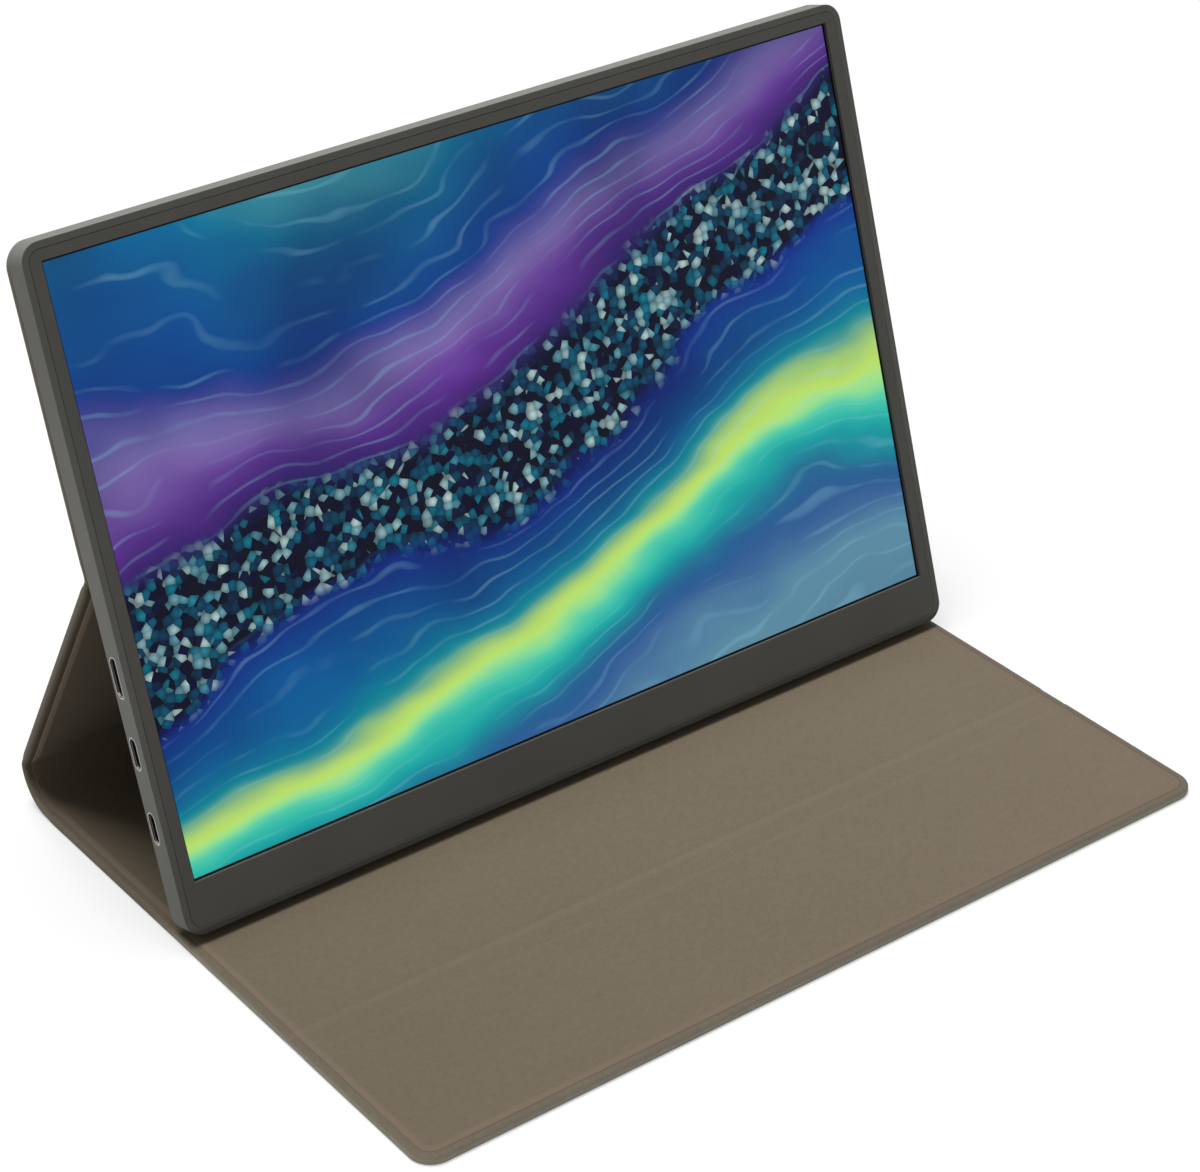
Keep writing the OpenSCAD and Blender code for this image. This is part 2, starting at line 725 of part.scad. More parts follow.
module speaker(side) color(black_col) in_monitor() {
    x = side * speaker_x;
    difference() {
        block([x - speaker_w / 2, speaker_y, side_wall],
            [x + speaker_w / 2, cavity_back, side_wall + speaker_h]);
        deep_rod(x, speaker_y - 1, speaker_y + 0.8, side_wall + speaker_h / 2, speaker_h * 0.36);
    }
}

module speaker_left() speaker(-1);
module speaker_right() speaker(1);

module foot_strip() color(steel_col) in_monitor() {
    half = speaker_x - speaker_w / 2 - 4;
    block([-half, cavity_back - foot_strip_t, side_wall], [half, cavity_back, side_wall + foot_strip_h]);
}

module catch_magnets() color(steel_col) in_monitor() {
    for (s = [-1, 1])
        block([s * catch_x - catch_len / 2, cavity_back - catch_t, body_h - side_wall - catch_h],
            [s * catch_x + catch_len / 2, cavity_back, body_h - side_wall]);
}

module holding_plate() color(steel_col) in_monitor() {
    upright(cover_w - 2 * plate_side, fold_v + plate_end, back_end - plate_end,
        body_t, body_t + steel_t, 3);
}

// ---- Cover panels ----
// Each is drawn flat: x across, y along the panel, z from the outer skin to the lining.
// An outer edge has rounded corners and the skin turned in over it. An edge at a crease is open.

// Flat outline from y0 to y1; r0 and r1 round the corners at each end
module panel_outline(w, y0, y1, r0, r1) {
    translate([-w / 2, y0 + r0]) square([w, y1 - y0 - r0 - r1]);
    if (r0 > 0) translate([-w / 2 + r0, y0]) square([w - 2 * r0, r0 + eps]);
    if (r1 > 0) translate([-w / 2 + r1, y1 - r1 - eps]) square([w - 2 * r1, r1 + eps]);
    for (s = [-1, 1]) {
        if (r0 > 0) translate([s * (w / 2 - r0), y0 + r0]) circle(r0);
        if (r1 > 0) translate([s * (w / 2 - r1), y1 - r1]) circle(r1);
    }
}

// Slab of that outline, set in from the outer edges by inset. open0 and open1 lengthen an open end.
module panel_slab(inset, y0, y1, z0, z1, edge0, edge1, lap) {
    r = max(cover_corner_r - inset, 0.5);
    translate([0, 0, z0]) linear_extrude(z1 - z0)
        panel_outline(cover_w - 2 * inset, edge0 ? y0 + inset : y0 - lap, edge1 ? y1 - inset : y1 + lap,
            edge0 ? r : 0, edge1 ? r : 0);
}

// Outer skin: its face, its edges, and the hem turned in over the board
module panel_skin(y0, y1, edge0, edge1) {
    difference() {
        panel_slab(0, y0, y1, 0, cover_t, edge0, edge1, 0);
        panel_slab(skin_wall, y0, y1, skin_t, cover_t - lining_t, edge0, edge1, 1);
        panel_slab(hem_w, y0, y1, skin_t + pad_t / 2, cover_t + 1, edge0, edge1, 1);
    }
}

module panel_board(y0, y1, edge0, edge1) {
    panel_slab(board_inset, y0, y1, skin_t, skin_t + pad_t, edge0, edge1, 0);
}

module panel_lining(y0, y1, edge0, edge1) {
    panel_slab(lining_inset, y0, y1, cover_t - lining_t, cover_t, edge0, edge1, 0);
}

// Row of bar magnets let into a board
module magnet_row(shares, y, grow) {
    for (share = shares)
        block([share * cover_w - magnet_len / 2 - grow, y - magnet_w / 2 - grow, skin_t],
            [share * cover_w + magnet_len / 2 + grow, y + magnet_w / 2 + grow, skin_t + magnet_t + grow]);
}

module magnet_pockets(shares, y) {
    translate([0, 0, -0.1]) magnet_row(shares, y, 0.1);
    magnet_row(shares, y, 0.1);
}

// Soft web at the crease, from y0 to y1
module crease_web(inset, y0, y1, z0, z1) {
    block([-cover_w / 2 + inset, y0, z0], [cover_w / 2 - inset, y1, z1]);
}

web_mid = skin_t + pad_t / 2;
base_start = crease_y + crease_half;
flap_end = crease_y - crease_half;
base_web_start = crease_y + crease_bead_r + crease_gap;
base_web_end = base_start + web_lap;
flap_web_start = flap_end - web_lap;
board_inset = skin_wall + board_gap;
lining_inset = hem_w + lining_gap;

// Base: lies on the table under the monitor
module base_skin() color(skin_col) {
    panel_skin(base_start, base_end, false, false);
    crease_web(board_inset, base_web_start, base_web_end, skin_t - eps, web_mid);
}

module base_board() color(stiffener_col) {
    difference() {
        panel_board(base_start + web_lap + 0.1, base_end - 0.6, false, false);
        magnet_pockets(foot_magnet_xs, foot_magnet_y);
    }
}

module base_lining() color(lining_col) {
    panel_lining(base_start, base_end, false, false);
    crease_web(lining_inset, base_web_start, base_web_end, web_mid, cover_t - lining_t + eps);
}

module foot_magnets() color(steel_col) {
    magnet_row(foot_magnet_xs, foot_magnet_y, 0);
}

// Front flap: folds up off the table about the round bead of its lining at the crease
module flap_skin() color(skin_col) {
    panel_skin(front_edge, flap_end, true, false);
    crease_web(board_inset, flap_web_start, crease_y - crease_split, skin_t - eps, web_mid);
}

module flap_board() color(stiffener_col) {
    difference() {
        panel_board(front_edge, flap_end - web_lap - 0.1, true, false);
        magnet_pockets(flap_magnet_xs, flap_magnet_y);
    }
}

module flap_lining() color(lining_col) {
    panel_lining(front_edge, flap_end, true, false);
    crease_web(lining_inset, flap_web_start, crease_y, web_mid, cover_t - lining_t + eps);
    across(-cover_w / 2 + lining_inset, cover_w / 2 - lining_inset)
        translate([crease_y, cover_t - lining_t]) circle(crease_bead_r);
}

module flap_magnets() color(steel_col) {
    magnet_row(flap_magnet_xs, flap_magnet_y, 0);
}

// Spine: short link between base and strut, with a rounded end at each crease
module in_spine() {
    translate([0, spine_foot_y, spine_foot_z]) rotate([spine_angle, 0, 0])
        translate([0, 0, -half_t]) children();
}

module spine_skin() color(skin_col) in_spine() {
    across(-cover_w / 2, cover_w / 2) {
        for (y = [0, spine_link]) translate([y, half_t]) circle(bead_r);
        translate([0, half_t - bead_r]) square([spine_link, skin_t]);
    }
}

module spine_board() color(stiffener_col) in_spine() {
    block([-cover_w / 2 + 1, bead_r + 0.1, half_t - bead_r + skin_t],
        [cover_w / 2 - 1, spine_link - bead_r - 0.1, half_t + bead_r - lining_t]);
}

module spine_lining() color(lining_col) in_spine() {
    block([-cover_w / 2, bead_r + 0.1, half_t + bead_r - lining_t],
        [cover_w / 2, spine_link - bead_r - 0.1, half_t + bead_r]);
}

// Strut: holds the monitor up from behind
module in_strut() {
    translate([0, strut_foot_y, strut_foot_z]) rotate([strut_angle, 0, 0])
        translate([0, 0, -half_t]) children();
}

bead_lap = bead_r * 0.65;

module strut_skin() color(skin_col) in_strut() {
    panel_skin(panel_end, strut_len - bead_lap, false, false);
    across(-cover_w / 2, cover_w / 2) translate([strut_len, half_t]) circle(bead_r);
}

module strut_board() color(stiffener_col) in_strut() {
    panel_board(panel_end + 0.6, strut_len - bead_r - 0.1, false, false);
}

module strut_lining() color(lining_col) in_strut() {
    panel_lining(panel_end, strut_len - bead_r - 0.1, false, false);
}

// Back panel: lies on the monitor's back, above the fold
module in_back_panel() {
    in_monitor() translate([0, body_t + steel_t + cover_t, 0]) rotate([90, 0, 0]) children();
}

module back_panel_skin() color(skin_col) in_back_panel() {
    panel_skin(back_start, back_end, false, true);
}

module back_panel_board() color(stiffener_col) in_back_panel() {
    difference() {
        panel_board(back_start + 0.6, back_end, false, true);
        magnet_pockets(back_magnet_xs, back_magnet_v);
    }
}

module back_panel_lining() color(lining_col) in_back_panel() {
    panel_lining(back_start, back_end, false, true);
}

module back_panel_magnets() color(steel_col) in_back_panel() {
    magnet_row(back_magnet_xs, back_magnet_v, 0);
}

rear_shell();
front_bezel();
bezel_tape();
lcd_cell();
optical_films();
light_guide();
reflector_sheet();
led_strip();
panel_tray();
panel_driver_board();
panel_flexes();
panel_ribbon();
controller_board();
board_chips();
board_screws();
mini_hdmi_socket();
usb_c_socket_upper();
usb_c_socket_lower();
port_rims();
audio_jack();
key_board();
key_switches();
key_cable();
power_button();
menu_rocker();
rocker_pin();
speaker_left();
speaker_right();
foot_strip();
catch_magnets();
holding_plate();
back_panel_skin();
back_panel_board();
back_panel_lining();
back_panel_magnets();
strut_skin();
strut_board();
strut_lining();
spine_skin();
spine_board();
spine_lining();
base_skin();
base_board();
base_lining();
foot_magnets();
flap_skin();
flap_board();
flap_lining();
flap_magnets();
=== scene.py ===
# %% [markdown]
# A portable monitor stands on a folding cover. The cover lies flat in front, runs back under the
# screen, turns up behind it and holds it from the back. The rigid parts come from the CAD frame as
# they are and only get finishes here. The soft cover is rebuilt, because a real one is one long
# strip of skin and lining that bends round its folds, and that is easier to make as a mesh.

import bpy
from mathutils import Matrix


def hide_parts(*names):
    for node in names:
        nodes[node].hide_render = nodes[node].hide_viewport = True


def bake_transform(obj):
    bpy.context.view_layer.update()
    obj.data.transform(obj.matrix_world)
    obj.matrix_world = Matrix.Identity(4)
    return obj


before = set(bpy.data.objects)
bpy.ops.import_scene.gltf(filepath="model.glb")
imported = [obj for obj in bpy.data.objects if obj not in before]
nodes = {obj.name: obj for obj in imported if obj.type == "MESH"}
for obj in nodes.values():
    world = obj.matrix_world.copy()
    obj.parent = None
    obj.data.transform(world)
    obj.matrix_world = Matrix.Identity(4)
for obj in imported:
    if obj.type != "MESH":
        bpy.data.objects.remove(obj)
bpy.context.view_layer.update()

# %% Libraries, and the nodes that the frame brings
import math

import bpy
import numpy as np
from mathutils import Matrix, Vector

MM = 0.001
print("CAD nodes:", len(nodes))

# %% [markdown]
# ## Camera
# The photograph looks down from the front left through a long lens, so lines that run away from the
# viewer stay almost parallel. The three axes below are the camera's own right, up and back
# directions, found from the corners of the screen and of the cover. Setting a matrix from axes is
# safer than chasing angles, because nothing can be rotated in the wrong order.

# %% Camera at the photograph's angle
LENS_MM = 99.85
CAMERA_PLACE = (-0.4717, -0.6475, 0.5481)
camera_data = bpy.data.cameras.new("photo_camera")
camera_data.sensor_width = 36
camera_data.sensor_fit = "HORIZONTAL"
camera_data.lens = LENS_MM
camera = bpy.data.objects.new("photo_camera", camera_data)
bpy.context.scene.collection.objects.link(camera)
camera_right = Vector((0.80055, -0.59908, -0.01491))
camera_up = Vector((0.31886, 0.40477, 0.85703))
camera_back = camera_right.cross(camera_up)
camera_turn = Matrix((camera_right, camera_up, camera_back)).transposed().to_4x4()
camera.matrix_world = Matrix.Translation(CAMERA_PLACE) @ camera_turn
bpy.context.scene.camera = camera
print("camera looks along", [round(-c, 3) for c in camera_back])

# %% [markdown]
# ## Sizes of the real thing
# The CAD source works with these sizes too, in millimetres, except for three that are this script's
# own: how much of the hem shows, the lining's border and the cut under the foot. The cover is a
# strip that is seen from the side as a line, so a few points and angles are enough to place it.

# %% Sizes of the monitor and the cover
LEAN = math.radians(17)
FOOT_Z = 5.53135
COVER_T = 2.6
HALF_T = COVER_T / 2
COVER_HALF_W = 134.9
CORNER_R = 7.0
HEM_SHOWN = 2.3
LINING_BORDER = 2.0
FRONT_EDGE = -111.358
CREASE_Y = -51.2575
FOOT_CUT_Y = 5.0
BASE_BACK = 82.0425
SPINE_R = 11.4974
STRUT_FOOT = (93.5398, 12.7974)
FOLD = (39.7248, 99.2102)
FOLD_V = 101.2
BACK_END = 192.8
print("lean", round(math.degrees(LEAN), 1), "degrees")

# %% [markdown]
# ## Colour helper
# Finishes are written as the 0 to 255 values that one reads from a picture. Blender's shaders work
# in linear light, so each value is converted once here.

# %% Colours and node helpers
def tone(red, green, blue):
    """A linear colour from screen values between 0 and 255"""
    def linear(value):
        value /= 255
        return value / 12.92 if value <= 0.04045 else ((value + 0.055) / 1.055) ** 2.4
    return (linear(red), linear(green), linear(blue), 1)


def new_material(name):
    """An empty finish, its node tree and its surface shader"""
    material = bpy.data.materials.new(name)
    material.use_nodes = True
    tree = material.node_tree
    return material, tree, tree.nodes["Principled BSDF"]


def node(tree, kind, inputs=None, **settings):
    """Adds one node; an input is either a number or colour, or the socket that feeds it"""
    made = tree.nodes.new(kind)
    for key, value in settings.items():
        setattr(made, key, value)
    for key, value in (inputs or {}).items():
        if isinstance(value, bpy.types.NodeSocket):
            tree.links.new(value, made.inputs[key])
        else:
            made.inputs[key].default_value = value
    return made


def mix(tree, factor, first, second):
    """Mixes two colours and returns the resulting socket"""
    made = node(tree, "ShaderNodeMix", data_type="RGBA")
    for index, value in ((0, factor), (6, first), (7, second)):
        if isinstance(value, bpy.types.NodeSocket):
            tree.links.new(value, made.inputs[index])
        else:
            made.inputs[index].default_value = value
    return made.outputs[2]


def math_node(tree, operation, first, second=0.0, third=0.0):
    """One sum on two or three values"""
    made = node(tree, "ShaderNodeMath", operation=operation)
    for index, value in enumerate((first, second, third)):
        if isinstance(value, bpy.types.NodeSocket):
            tree.links.new(value, made.inputs[index])
        else:
            made.inputs[index].default_value = value
    return made.outputs[0]


def spread(tree, value, low, high, to_low, to_high):
    """Maps a value from one range to another and keeps it inside"""
    return node(tree, "ShaderNodeMapRange", {
        "Value": value, "From Min": low, "From Max": high,
        "To Min": to_low, "To Max": to_high}).outputs[0]


def noise(tree, where, scale, detail=3.0, roughness=0.5):
    """Cloudy variation; scale is in cells per metre"""
    return node(tree, "ShaderNodeTexNoise", {
        "Vector": where, "Scale": scale, "Detail": detail, "Roughness": roughness}).outputs["Fac"]


print("helpers ready")

# %% [markdown]
# ## Side line of the cover
# Seen from the side, the strip is a chain of straight panels and small bends: flat on the table,
# round the soft spine, up the strut, a fold, and then up the monitor's back. A real fold has a
# radius, because the skin wraps its own thickness. So each corner is an arc, and the line is kept as
# closely spaced points. Any point of the cover is then this line plus a distance along its normal.

# %% Straight pieces and arcs of the side line
BEND_R = 3.0
strut_dir = np.array(FOLD) - np.array(STRUT_FOOT)
strut_dir = strut_dir / np.linalg.norm(strut_dir)
strut_left = np.array((-strut_dir[1], strut_dir[0]))
spine_centre = np.array((BASE_BACK, HALF_T + SPINE_R))
reach = np.array((SPINE_R, 0)) + strut_left * BEND_R
along = float(strut_dir @ reach)
spread_sq = float(reach @ reach) - (SPINE_R - BEND_R) ** 2
bend_out = -along - math.sqrt(along * along - spread_sq)
bend_centre = spine_centre + reach + strut_dir * bend_out
bend_start = math.atan2(*(bend_centre - spine_centre)[::-1]) + math.pi / 2
strut_angle = math.atan2(strut_dir[1], strut_dir[0])
back_angle = math.pi / 2 - LEAN
fold_turn = strut_angle - back_angle
fold_cut = BEND_R * math.tan(fold_turn / 2)
strut_straight = float(np.linalg.norm(np.array(FOLD) - np.array(STRUT_FOOT))) - bend_out - fold_cut
print("spine turns", round(math.degrees(bend_start), 1), "degrees before the tighter bend")

# %% The side line as lengths and turns
# Each entry is a length and how far the direction turns over that length
side_chain = [
    (BASE_BACK - FRONT_EDGE, 0.0),
    (SPINE_R * bend_start, bend_start),
    (BEND_R * (strut_angle - bend_start), strut_angle - bend_start),
    (strut_straight, 0.0),
    (BEND_R * fold_turn, -fold_turn),
    (BACK_END - FOLD_V - fold_cut, 0.0),
]
STEP = 0.01
chain_ends = np.cumsum([0.0] + [length for length, _ in side_chain])
COVER_LEN = float(chain_ends[-1])
places = np.arange(0, COVER_LEN + STEP, STEP)
angles = np.interp(places, chain_ends, np.cumsum([0.0] + [turn for _, turn in side_chain]))
middle = (angles[1:] + angles[:-1]) / 2
line_y = FRONT_EDGE + np.concatenate(([0], np.cumsum(np.cos(middle) * STEP)))
line_z = HALF_T + np.concatenate(([0], np.cumsum(np.sin(middle) * STEP)))
CREASE_S = CREASE_Y - FRONT_EDGE
CUT_FOOT = FOOT_CUT_Y - FRONT_EDGE
SPINE_S = float(chain_ends[1])
STRUT_S = float(chain_ends[3])
FOLD_S = float((chain_ends[4] + chain_ends[5]) / 2)
print("cover strip", round(COVER_LEN, 1), "mm long")
print("it ends at", round(line_y[-1], 2), round(line_z[-1], 2), "mm")


def on_strip(across, along_strip, above):
    """World points, in metres, of flat places on the strip"""
    angle = np.interp(along_strip, places, angles)
    y = np.interp(along_strip, places, line_y) - np.sin(angle) * above
    z = np.interp(along_strip, places, line_z) + np.cos(angle) * above
    return np.stack([across, y, z], axis=-1) * MM

# %% [markdown]
# ## Thickness of the cover
# The panels have a stiff board inside. At the crease, round the spine and at the fold there is no
# board, so skin and lining come together and the strip is thinner. The change is soft, as cloth
# pressed over the edge of a board is.

# %% Thickness along the strip
CREASE_GROOVE = 0.16
PRESSED_LINE = 0.10
PRESSED_LINE_AT = 4.8
SPINE_THINNER = 0.40
FOLD_THINNER = 0.35


def soft_step(value, start, end):
    """0 before start, 1 after end, and smooth between"""
    part = np.clip((value - start) / (end - start), 0, 1)
    return part * part * (3 - 2 * part)


def soft_band(value, centre, half, shoulder):
    """1 within half of the centre, falling to 0 over the shoulder"""
    return 1 - soft_step(np.abs(value - centre), half, half + shoulder)


def thinner_at_bends(s):
    """What each side of the strip lacks round the spine and at the fold, where there is no board"""
    spine = SPINE_THINNER * soft_band(s, (SPINE_S + STRUT_S) / 2, (STRUT_S - SPINE_S) / 2, 4.5)
    return spine + FOLD_THINNER * soft_band(s, FOLD_S, 2.2, 3.0)


def half_top(s):
    """Height of the lining's face above the middle line"""
    groove = CREASE_GROOVE * soft_band(s, CREASE_S, 4.0, 1.8)
    lines = PRESSED_LINE * (soft_band(s, CREASE_S - PRESSED_LINE_AT, 0.2, 1.0)
                            + soft_band(s, CREASE_S + PRESSED_LINE_AT, 0.2, 1.0))
    return HALF_T - groove - lines - thinner_at_bends(s)


def half_bottom(s):
    """Depth of the outer skin's face below the middle line"""
    groove = CREASE_GROOVE * soft_band(s, CREASE_S, 3.6, 1.8)
    return HALF_T - groove - thinner_at_bends(s)


print("thickness at the crease", round(float(half_top(CREASE_S) + half_bottom(CREASE_S)), 2), "mm")

# %% [markdown]
# ## One strip of material as a closed solid
# A strip is two sheets of the same grid, one above the other, joined round the rim. Near the outer
# edge the grid lines follow the edge, and in a corner they run round it in rings that shrink to a
# point. That keeps every face a quad and gives the corners their true radius. The flat place of each
# vertex is kept as an attribute, so the grain of the leather isn't stretched where the strip bends.

# %% Grid of a strip with rounded corners
def strip_grid(half_w, s0, s1, round0, round1, corner, insets, step, extra):
    """Flat places (across, along, inset) of a grid whose rounded ends have that corner radius"""
    count = len(insets) - 1
    inner = np.linspace(-half_w + corner, half_w - corner, max(2, int(2 * half_w / step)))[1:-1]
    xs = np.concatenate([[-half_w + d for d in insets], inner, [half_w - d for d in insets[::-1]]])
    first = [s0 + d for d in insets] if round0 else [s0, s0 + 0.08]
    last = [s1 - d for d in insets[::-1]] if round1 else [s1 - 0.08, s1]
    wanted = [s for s in extra if first[-1] + 0.15 < s < last[0] - 0.15]
    plain = [s for s in np.arange(first[-1] + step / 2, last[0], step)
             if all(abs(s - w) > step * 0.4 for w in wanted) and s < last[0] - 0.5]
    ss = np.array(first + sorted(wanted + plain) + last)
    grid_x, grid_s = np.meshgrid(xs, ss, indexing="ij")
    inset = half_w - np.abs(grid_x)
    if round0:
        inset = np.minimum(inset, grid_s - s0)
    if round1:
        inset = np.minimum(inset, s1 - grid_s)
    for is_round, end, sense in ((round0, s0, 1), (round1, s1, -1)):
        if not is_round:
            continue
        for i in range(count + 1):
            for j in range(count + 1):
                ring = min(i, j)
                radius = corner - insets[ring]
                share = (max(i, j) - ring) / (count - ring) if ring < count else 0
                angle = math.radians(45 * (1 - share) if i <= j else 45 * (1 + share))
                x = half_w - corner + radius * math.cos(angle)
                s = end + sense * (corner - radius * math.sin(angle))
                row = j if sense > 0 else len(ss) - 1 - j
                for column, side in ((i, -1), (len(xs) - 1 - i, 1)):
                    grid_x[column, row] = side * x
                    grid_s[column, row] = s
                    inset[column, row] = insets[ring]
    return grid_x, grid_s, inset

# %% Two sheets and a rim round them
def strip_mesh(name, grid, z_top, z_bottom, share_at_rim):
    """A closed solid between two heights over that grid, bent along the cover's side line"""
    grid_x, grid_s, inset = grid
    rows, columns = grid_x.shape
    flat, world = [], []
    for height in (z_top, z_bottom):
        z = height(inset, grid_s)
        flat.append(np.stack([grid_x, grid_s, z], axis=-1).reshape(-1, 3) * MM)
        world.append(on_strip(grid_x, grid_s, z).reshape(-1, 3))
    size = rows * columns

    def at(i, j, sheet):
        return sheet * size + i * columns + j

    faces = []
    for i in range(rows - 1):
        for j in range(columns - 1):
            faces.append((at(i, j, 0), at(i + 1, j, 0), at(i + 1, j + 1, 0), at(i, j + 1, 0)))
            faces.append((at(i, j, 1), at(i, j + 1, 1), at(i + 1, j + 1, 1), at(i + 1, j, 1)))
    rim = [(i, 0) for i in range(rows)] + [(rows - 1, j) for j in range(1, columns)]
    rim += [(i, columns - 1) for i in range(rows - 2, -1, -1)]
    rim += [(0, j) for j in range(columns - 2, 0, -1)]
    for here, after in zip(rim, rim[1:] + rim[:1]):
        faces.append((at(*here, 0), at(*here, 1), at(*after, 1), at(*after, 0)))
    mesh = bpy.data.meshes.new(name)
    mesh.from_pydata(np.concatenate(world).tolist(), [], faces)
    mesh.update()
    mesh.shade_smooth()
    mesh.set_sharp_from_angle(angle=math.radians(50))
    place = mesh.attributes.new("flat", "FLOAT_VECTOR", "POINT")
    place.data.foreach_set("vector", np.concatenate(flat).astype(np.float32).ravel())
    folded = np.concatenate([fold_share(grid_s).ravel()] * 2)
    rim_share = np.concatenate([share_at_rim(inset, grid_s).ravel()] * 2)
    under_monitor_shade = np.concatenate([under_monitor_shade_share(grid_s).ravel()] * 2)
    upright = np.concatenate([upright_share(grid_s).ravel()] * 2)
    for key, values in (("fold", folded), ("rim", rim_share), ("under_monitor_shade", under_monitor_shade), ("upright", upright)):
        mesh.attributes.new(key, "FLOAT", "POINT").data.foreach_set("value", values.astype(np.float32))
    made = bpy.data.objects.new(name, mesh)
    bpy.context.scene.collection.objects.link(made)
    return made


def fold_share(s):
    """How stretched the surface is: 1 in a bend and on the line behind the crease, 0.4 before it"""
    behind, before = CREASE_S + 2.9, CREASE_S - 6.0
    crease = soft_band(s, behind, 0.5, 1.2) + 0.4 * soft_band(s, before, 0.4, 1.2)
    bend = soft_band(s, (SPINE_S + STRUT_S) / 2, (STRUT_S - SPINE_S) / 2, 3.0)
    return np.clip(crease + bend + soft_band(s, FOLD_S, 2.0, 2.5), 0, 1)


def under_monitor_shade_share(s):
    """1 on the base behind the monitor's foot, under the leaning monitor, where the lining gets painted
    shade
    """
    return soft_step(s, CUT_FOOT, CUT_FOOT + 9) - soft_step(s, SPINE_S - 9, SPINE_S - 1)


def upright_share(s):
    """1 above the spine, where the strip stands up behind the monitor"""
    return soft_step(s, STRUT_S - 2, STRUT_S + 4)


def edge_round(inset, radius):
    """How far a rounded edge has risen: 0 at the edge, 1 where the rounding ends"""
    part = np.clip(inset / radius, 0, 1)
    return np.sqrt(1 - (1 - part) ** 2)


def rim_rub_and_light(inset, s):
    """1 on the upright edge, falling as it rounds over onto the hem: a pale rim that is partly rub and
    partly painted highlight, held back behind the foot as painted shade
    """
    # Painted shade: behind the monitor's foot the pale rim is cut to a quarter
    out_of_shade = 1 - 0.75 * soft_step(s, CUT_FOOT, CUT_FOOT + 18)
    return out_of_shade * (1 - edge_round(inset, 1.0)) ** 1.7


def glued_border(inset, _):
    """1 on the lining's border, where it lies over the hem, and 0 inside it"""
    return 1 - soft_step(inset, LINING_BORDER - 0.5, LINING_BORDER + 0.5)


print("strip builder ready")

# %% [markdown]
# ## Skin and lining profiles
# The outer skin wraps the edge of the board and is turned in over it as a hem. The soft lining is a
# separate sheet, and its border is glued over the hem, so it stands a little higher there. From above
# one sees a narrow darker band of skin, then a lighter raised band, then the flat lining. So the skin
# gets a rounded edge, a low hem and a recess, and the lining lies in that recess.

# %% Heights of the skin and of the lining over the inset from the edge
EDGE_R = 1.0
EDGE_R_BELOW = 0.45
HEM_DROP = 0.12
RECESS = 0.8
RECESS_WALL = 0.06
skin_insets = [0, 0.04, 0.14, 0.3, 0.45, 0.7, EDGE_R, 1.6, HEM_SHOWN, HEM_SHOWN + RECESS_WALL,
               3.6, 5.4, CORNER_R]


def skin_top(inset, s):
    """The hem with its rounded edge, and the recess inside it"""
    hem = half_top(s) - HEM_DROP - EDGE_R + EDGE_R * edge_round(inset, EDGE_R)
    return np.where(inset > HEM_SHOWN + 0.01, half_top(s) - RECESS, hem)


def skin_bottom(inset, s):
    """The outside of the cover, with a small rounding at the edge"""
    return -half_bottom(s) + EDGE_R_BELOW * (1 - edge_round(inset, EDGE_R_BELOW))


LINING_INSET = HEM_SHOWN + RECESS_WALL / 2
LINING_EDGE = 0.3
LINING_EDGE_R = 0.34
BORDER_RISE = 0.07
LINING_CLEAR = 0.02
lining_corner = CORNER_R - LINING_INSET
lining_insets = [0, 0.05, 0.16, LINING_EDGE_R, 0.7, 1.4, 1.75, LINING_BORDER, 2.25, 2.8, 3.6,
                 lining_corner]


def lining_top(inset, s):
    """The lining's rounded edge, its raised border and its flat middle"""
    edge = LINING_EDGE * (1 - edge_round(inset, LINING_EDGE_R))
    flat = BORDER_RISE * soft_step(inset, LINING_BORDER - 0.25, LINING_BORDER + 0.25)
    return half_top(s) - edge - flat


def lining_bottom(_, s):
    """Just above the recess that the lining lies in"""
    return half_top(s) - RECESS + LINING_CLEAR


print("hem shows", HEM_SHOWN, "mm wide; the lining's raised border is", LINING_BORDER, "mm wide")

# %% [markdown]
# ## The cover in four lengths
# The strip bends at four joints, and one piece can only bend between two bodies. So the strip is cut
# into four lengths, each with one joint in it. The cuts lie where they show least: under the monitor's
# foot, at the spine's upper corner and beside the fold. Each length is listed with the two bodies of
# its joint and a line from a bend's start to its end, for how early each point would turn. The line is
# slanted at the spine and sits on the flap's side of the crease, which keeps the skin from swinging
# down through the table, but for 0.3 mm under the spine when it lies flat.

# %% Where the strip is cut, and where each length bends
CUT_SPINE = float((chain_ends[2] + chain_ends[3]) / 2)
CUT_FOLD = FOLD_S - 6.5
spine_corner = on_strip(0, CUT_SPINE, 0)[1:] / MM
spine_foot = np.array((BASE_BACK, HALF_T))
unroll_slope = np.array((5.0, 11.5))
unroll = unroll_slope / np.linalg.norm(unroll_slope)
UNROLL_SHARE = 0.95
unroll_end = spine_foot + unroll * float(unroll @ (spine_corner - spine_foot)) * UNROLL_SHARE
CORNER_AFTER, CORNER_BEND = 0.45, 1.4
corner_start = spine_corner + CORNER_AFTER * strut_dir
corner_end = corner_start + CORNER_BEND * strut_dir
FOLD_BEND = 3
bend_rows = list(np.arange(CREASE_S - 8, CREASE_S + 8.01, 0.5))
bend_rows += list(np.arange(SPINE_S - 6, STRUT_S + 6.5, 0.5))
bend_rows += list(np.arange(FOLD_S - 5.5, FOLD_S + 6.01, 0.4))
bend_rows += [CUT_SPINE - 0.1, CUT_SPINE + 0.1]


def side_point(y, z):
    """A point of the side line, in metres"""
    return (0, y * MM, z * MM)


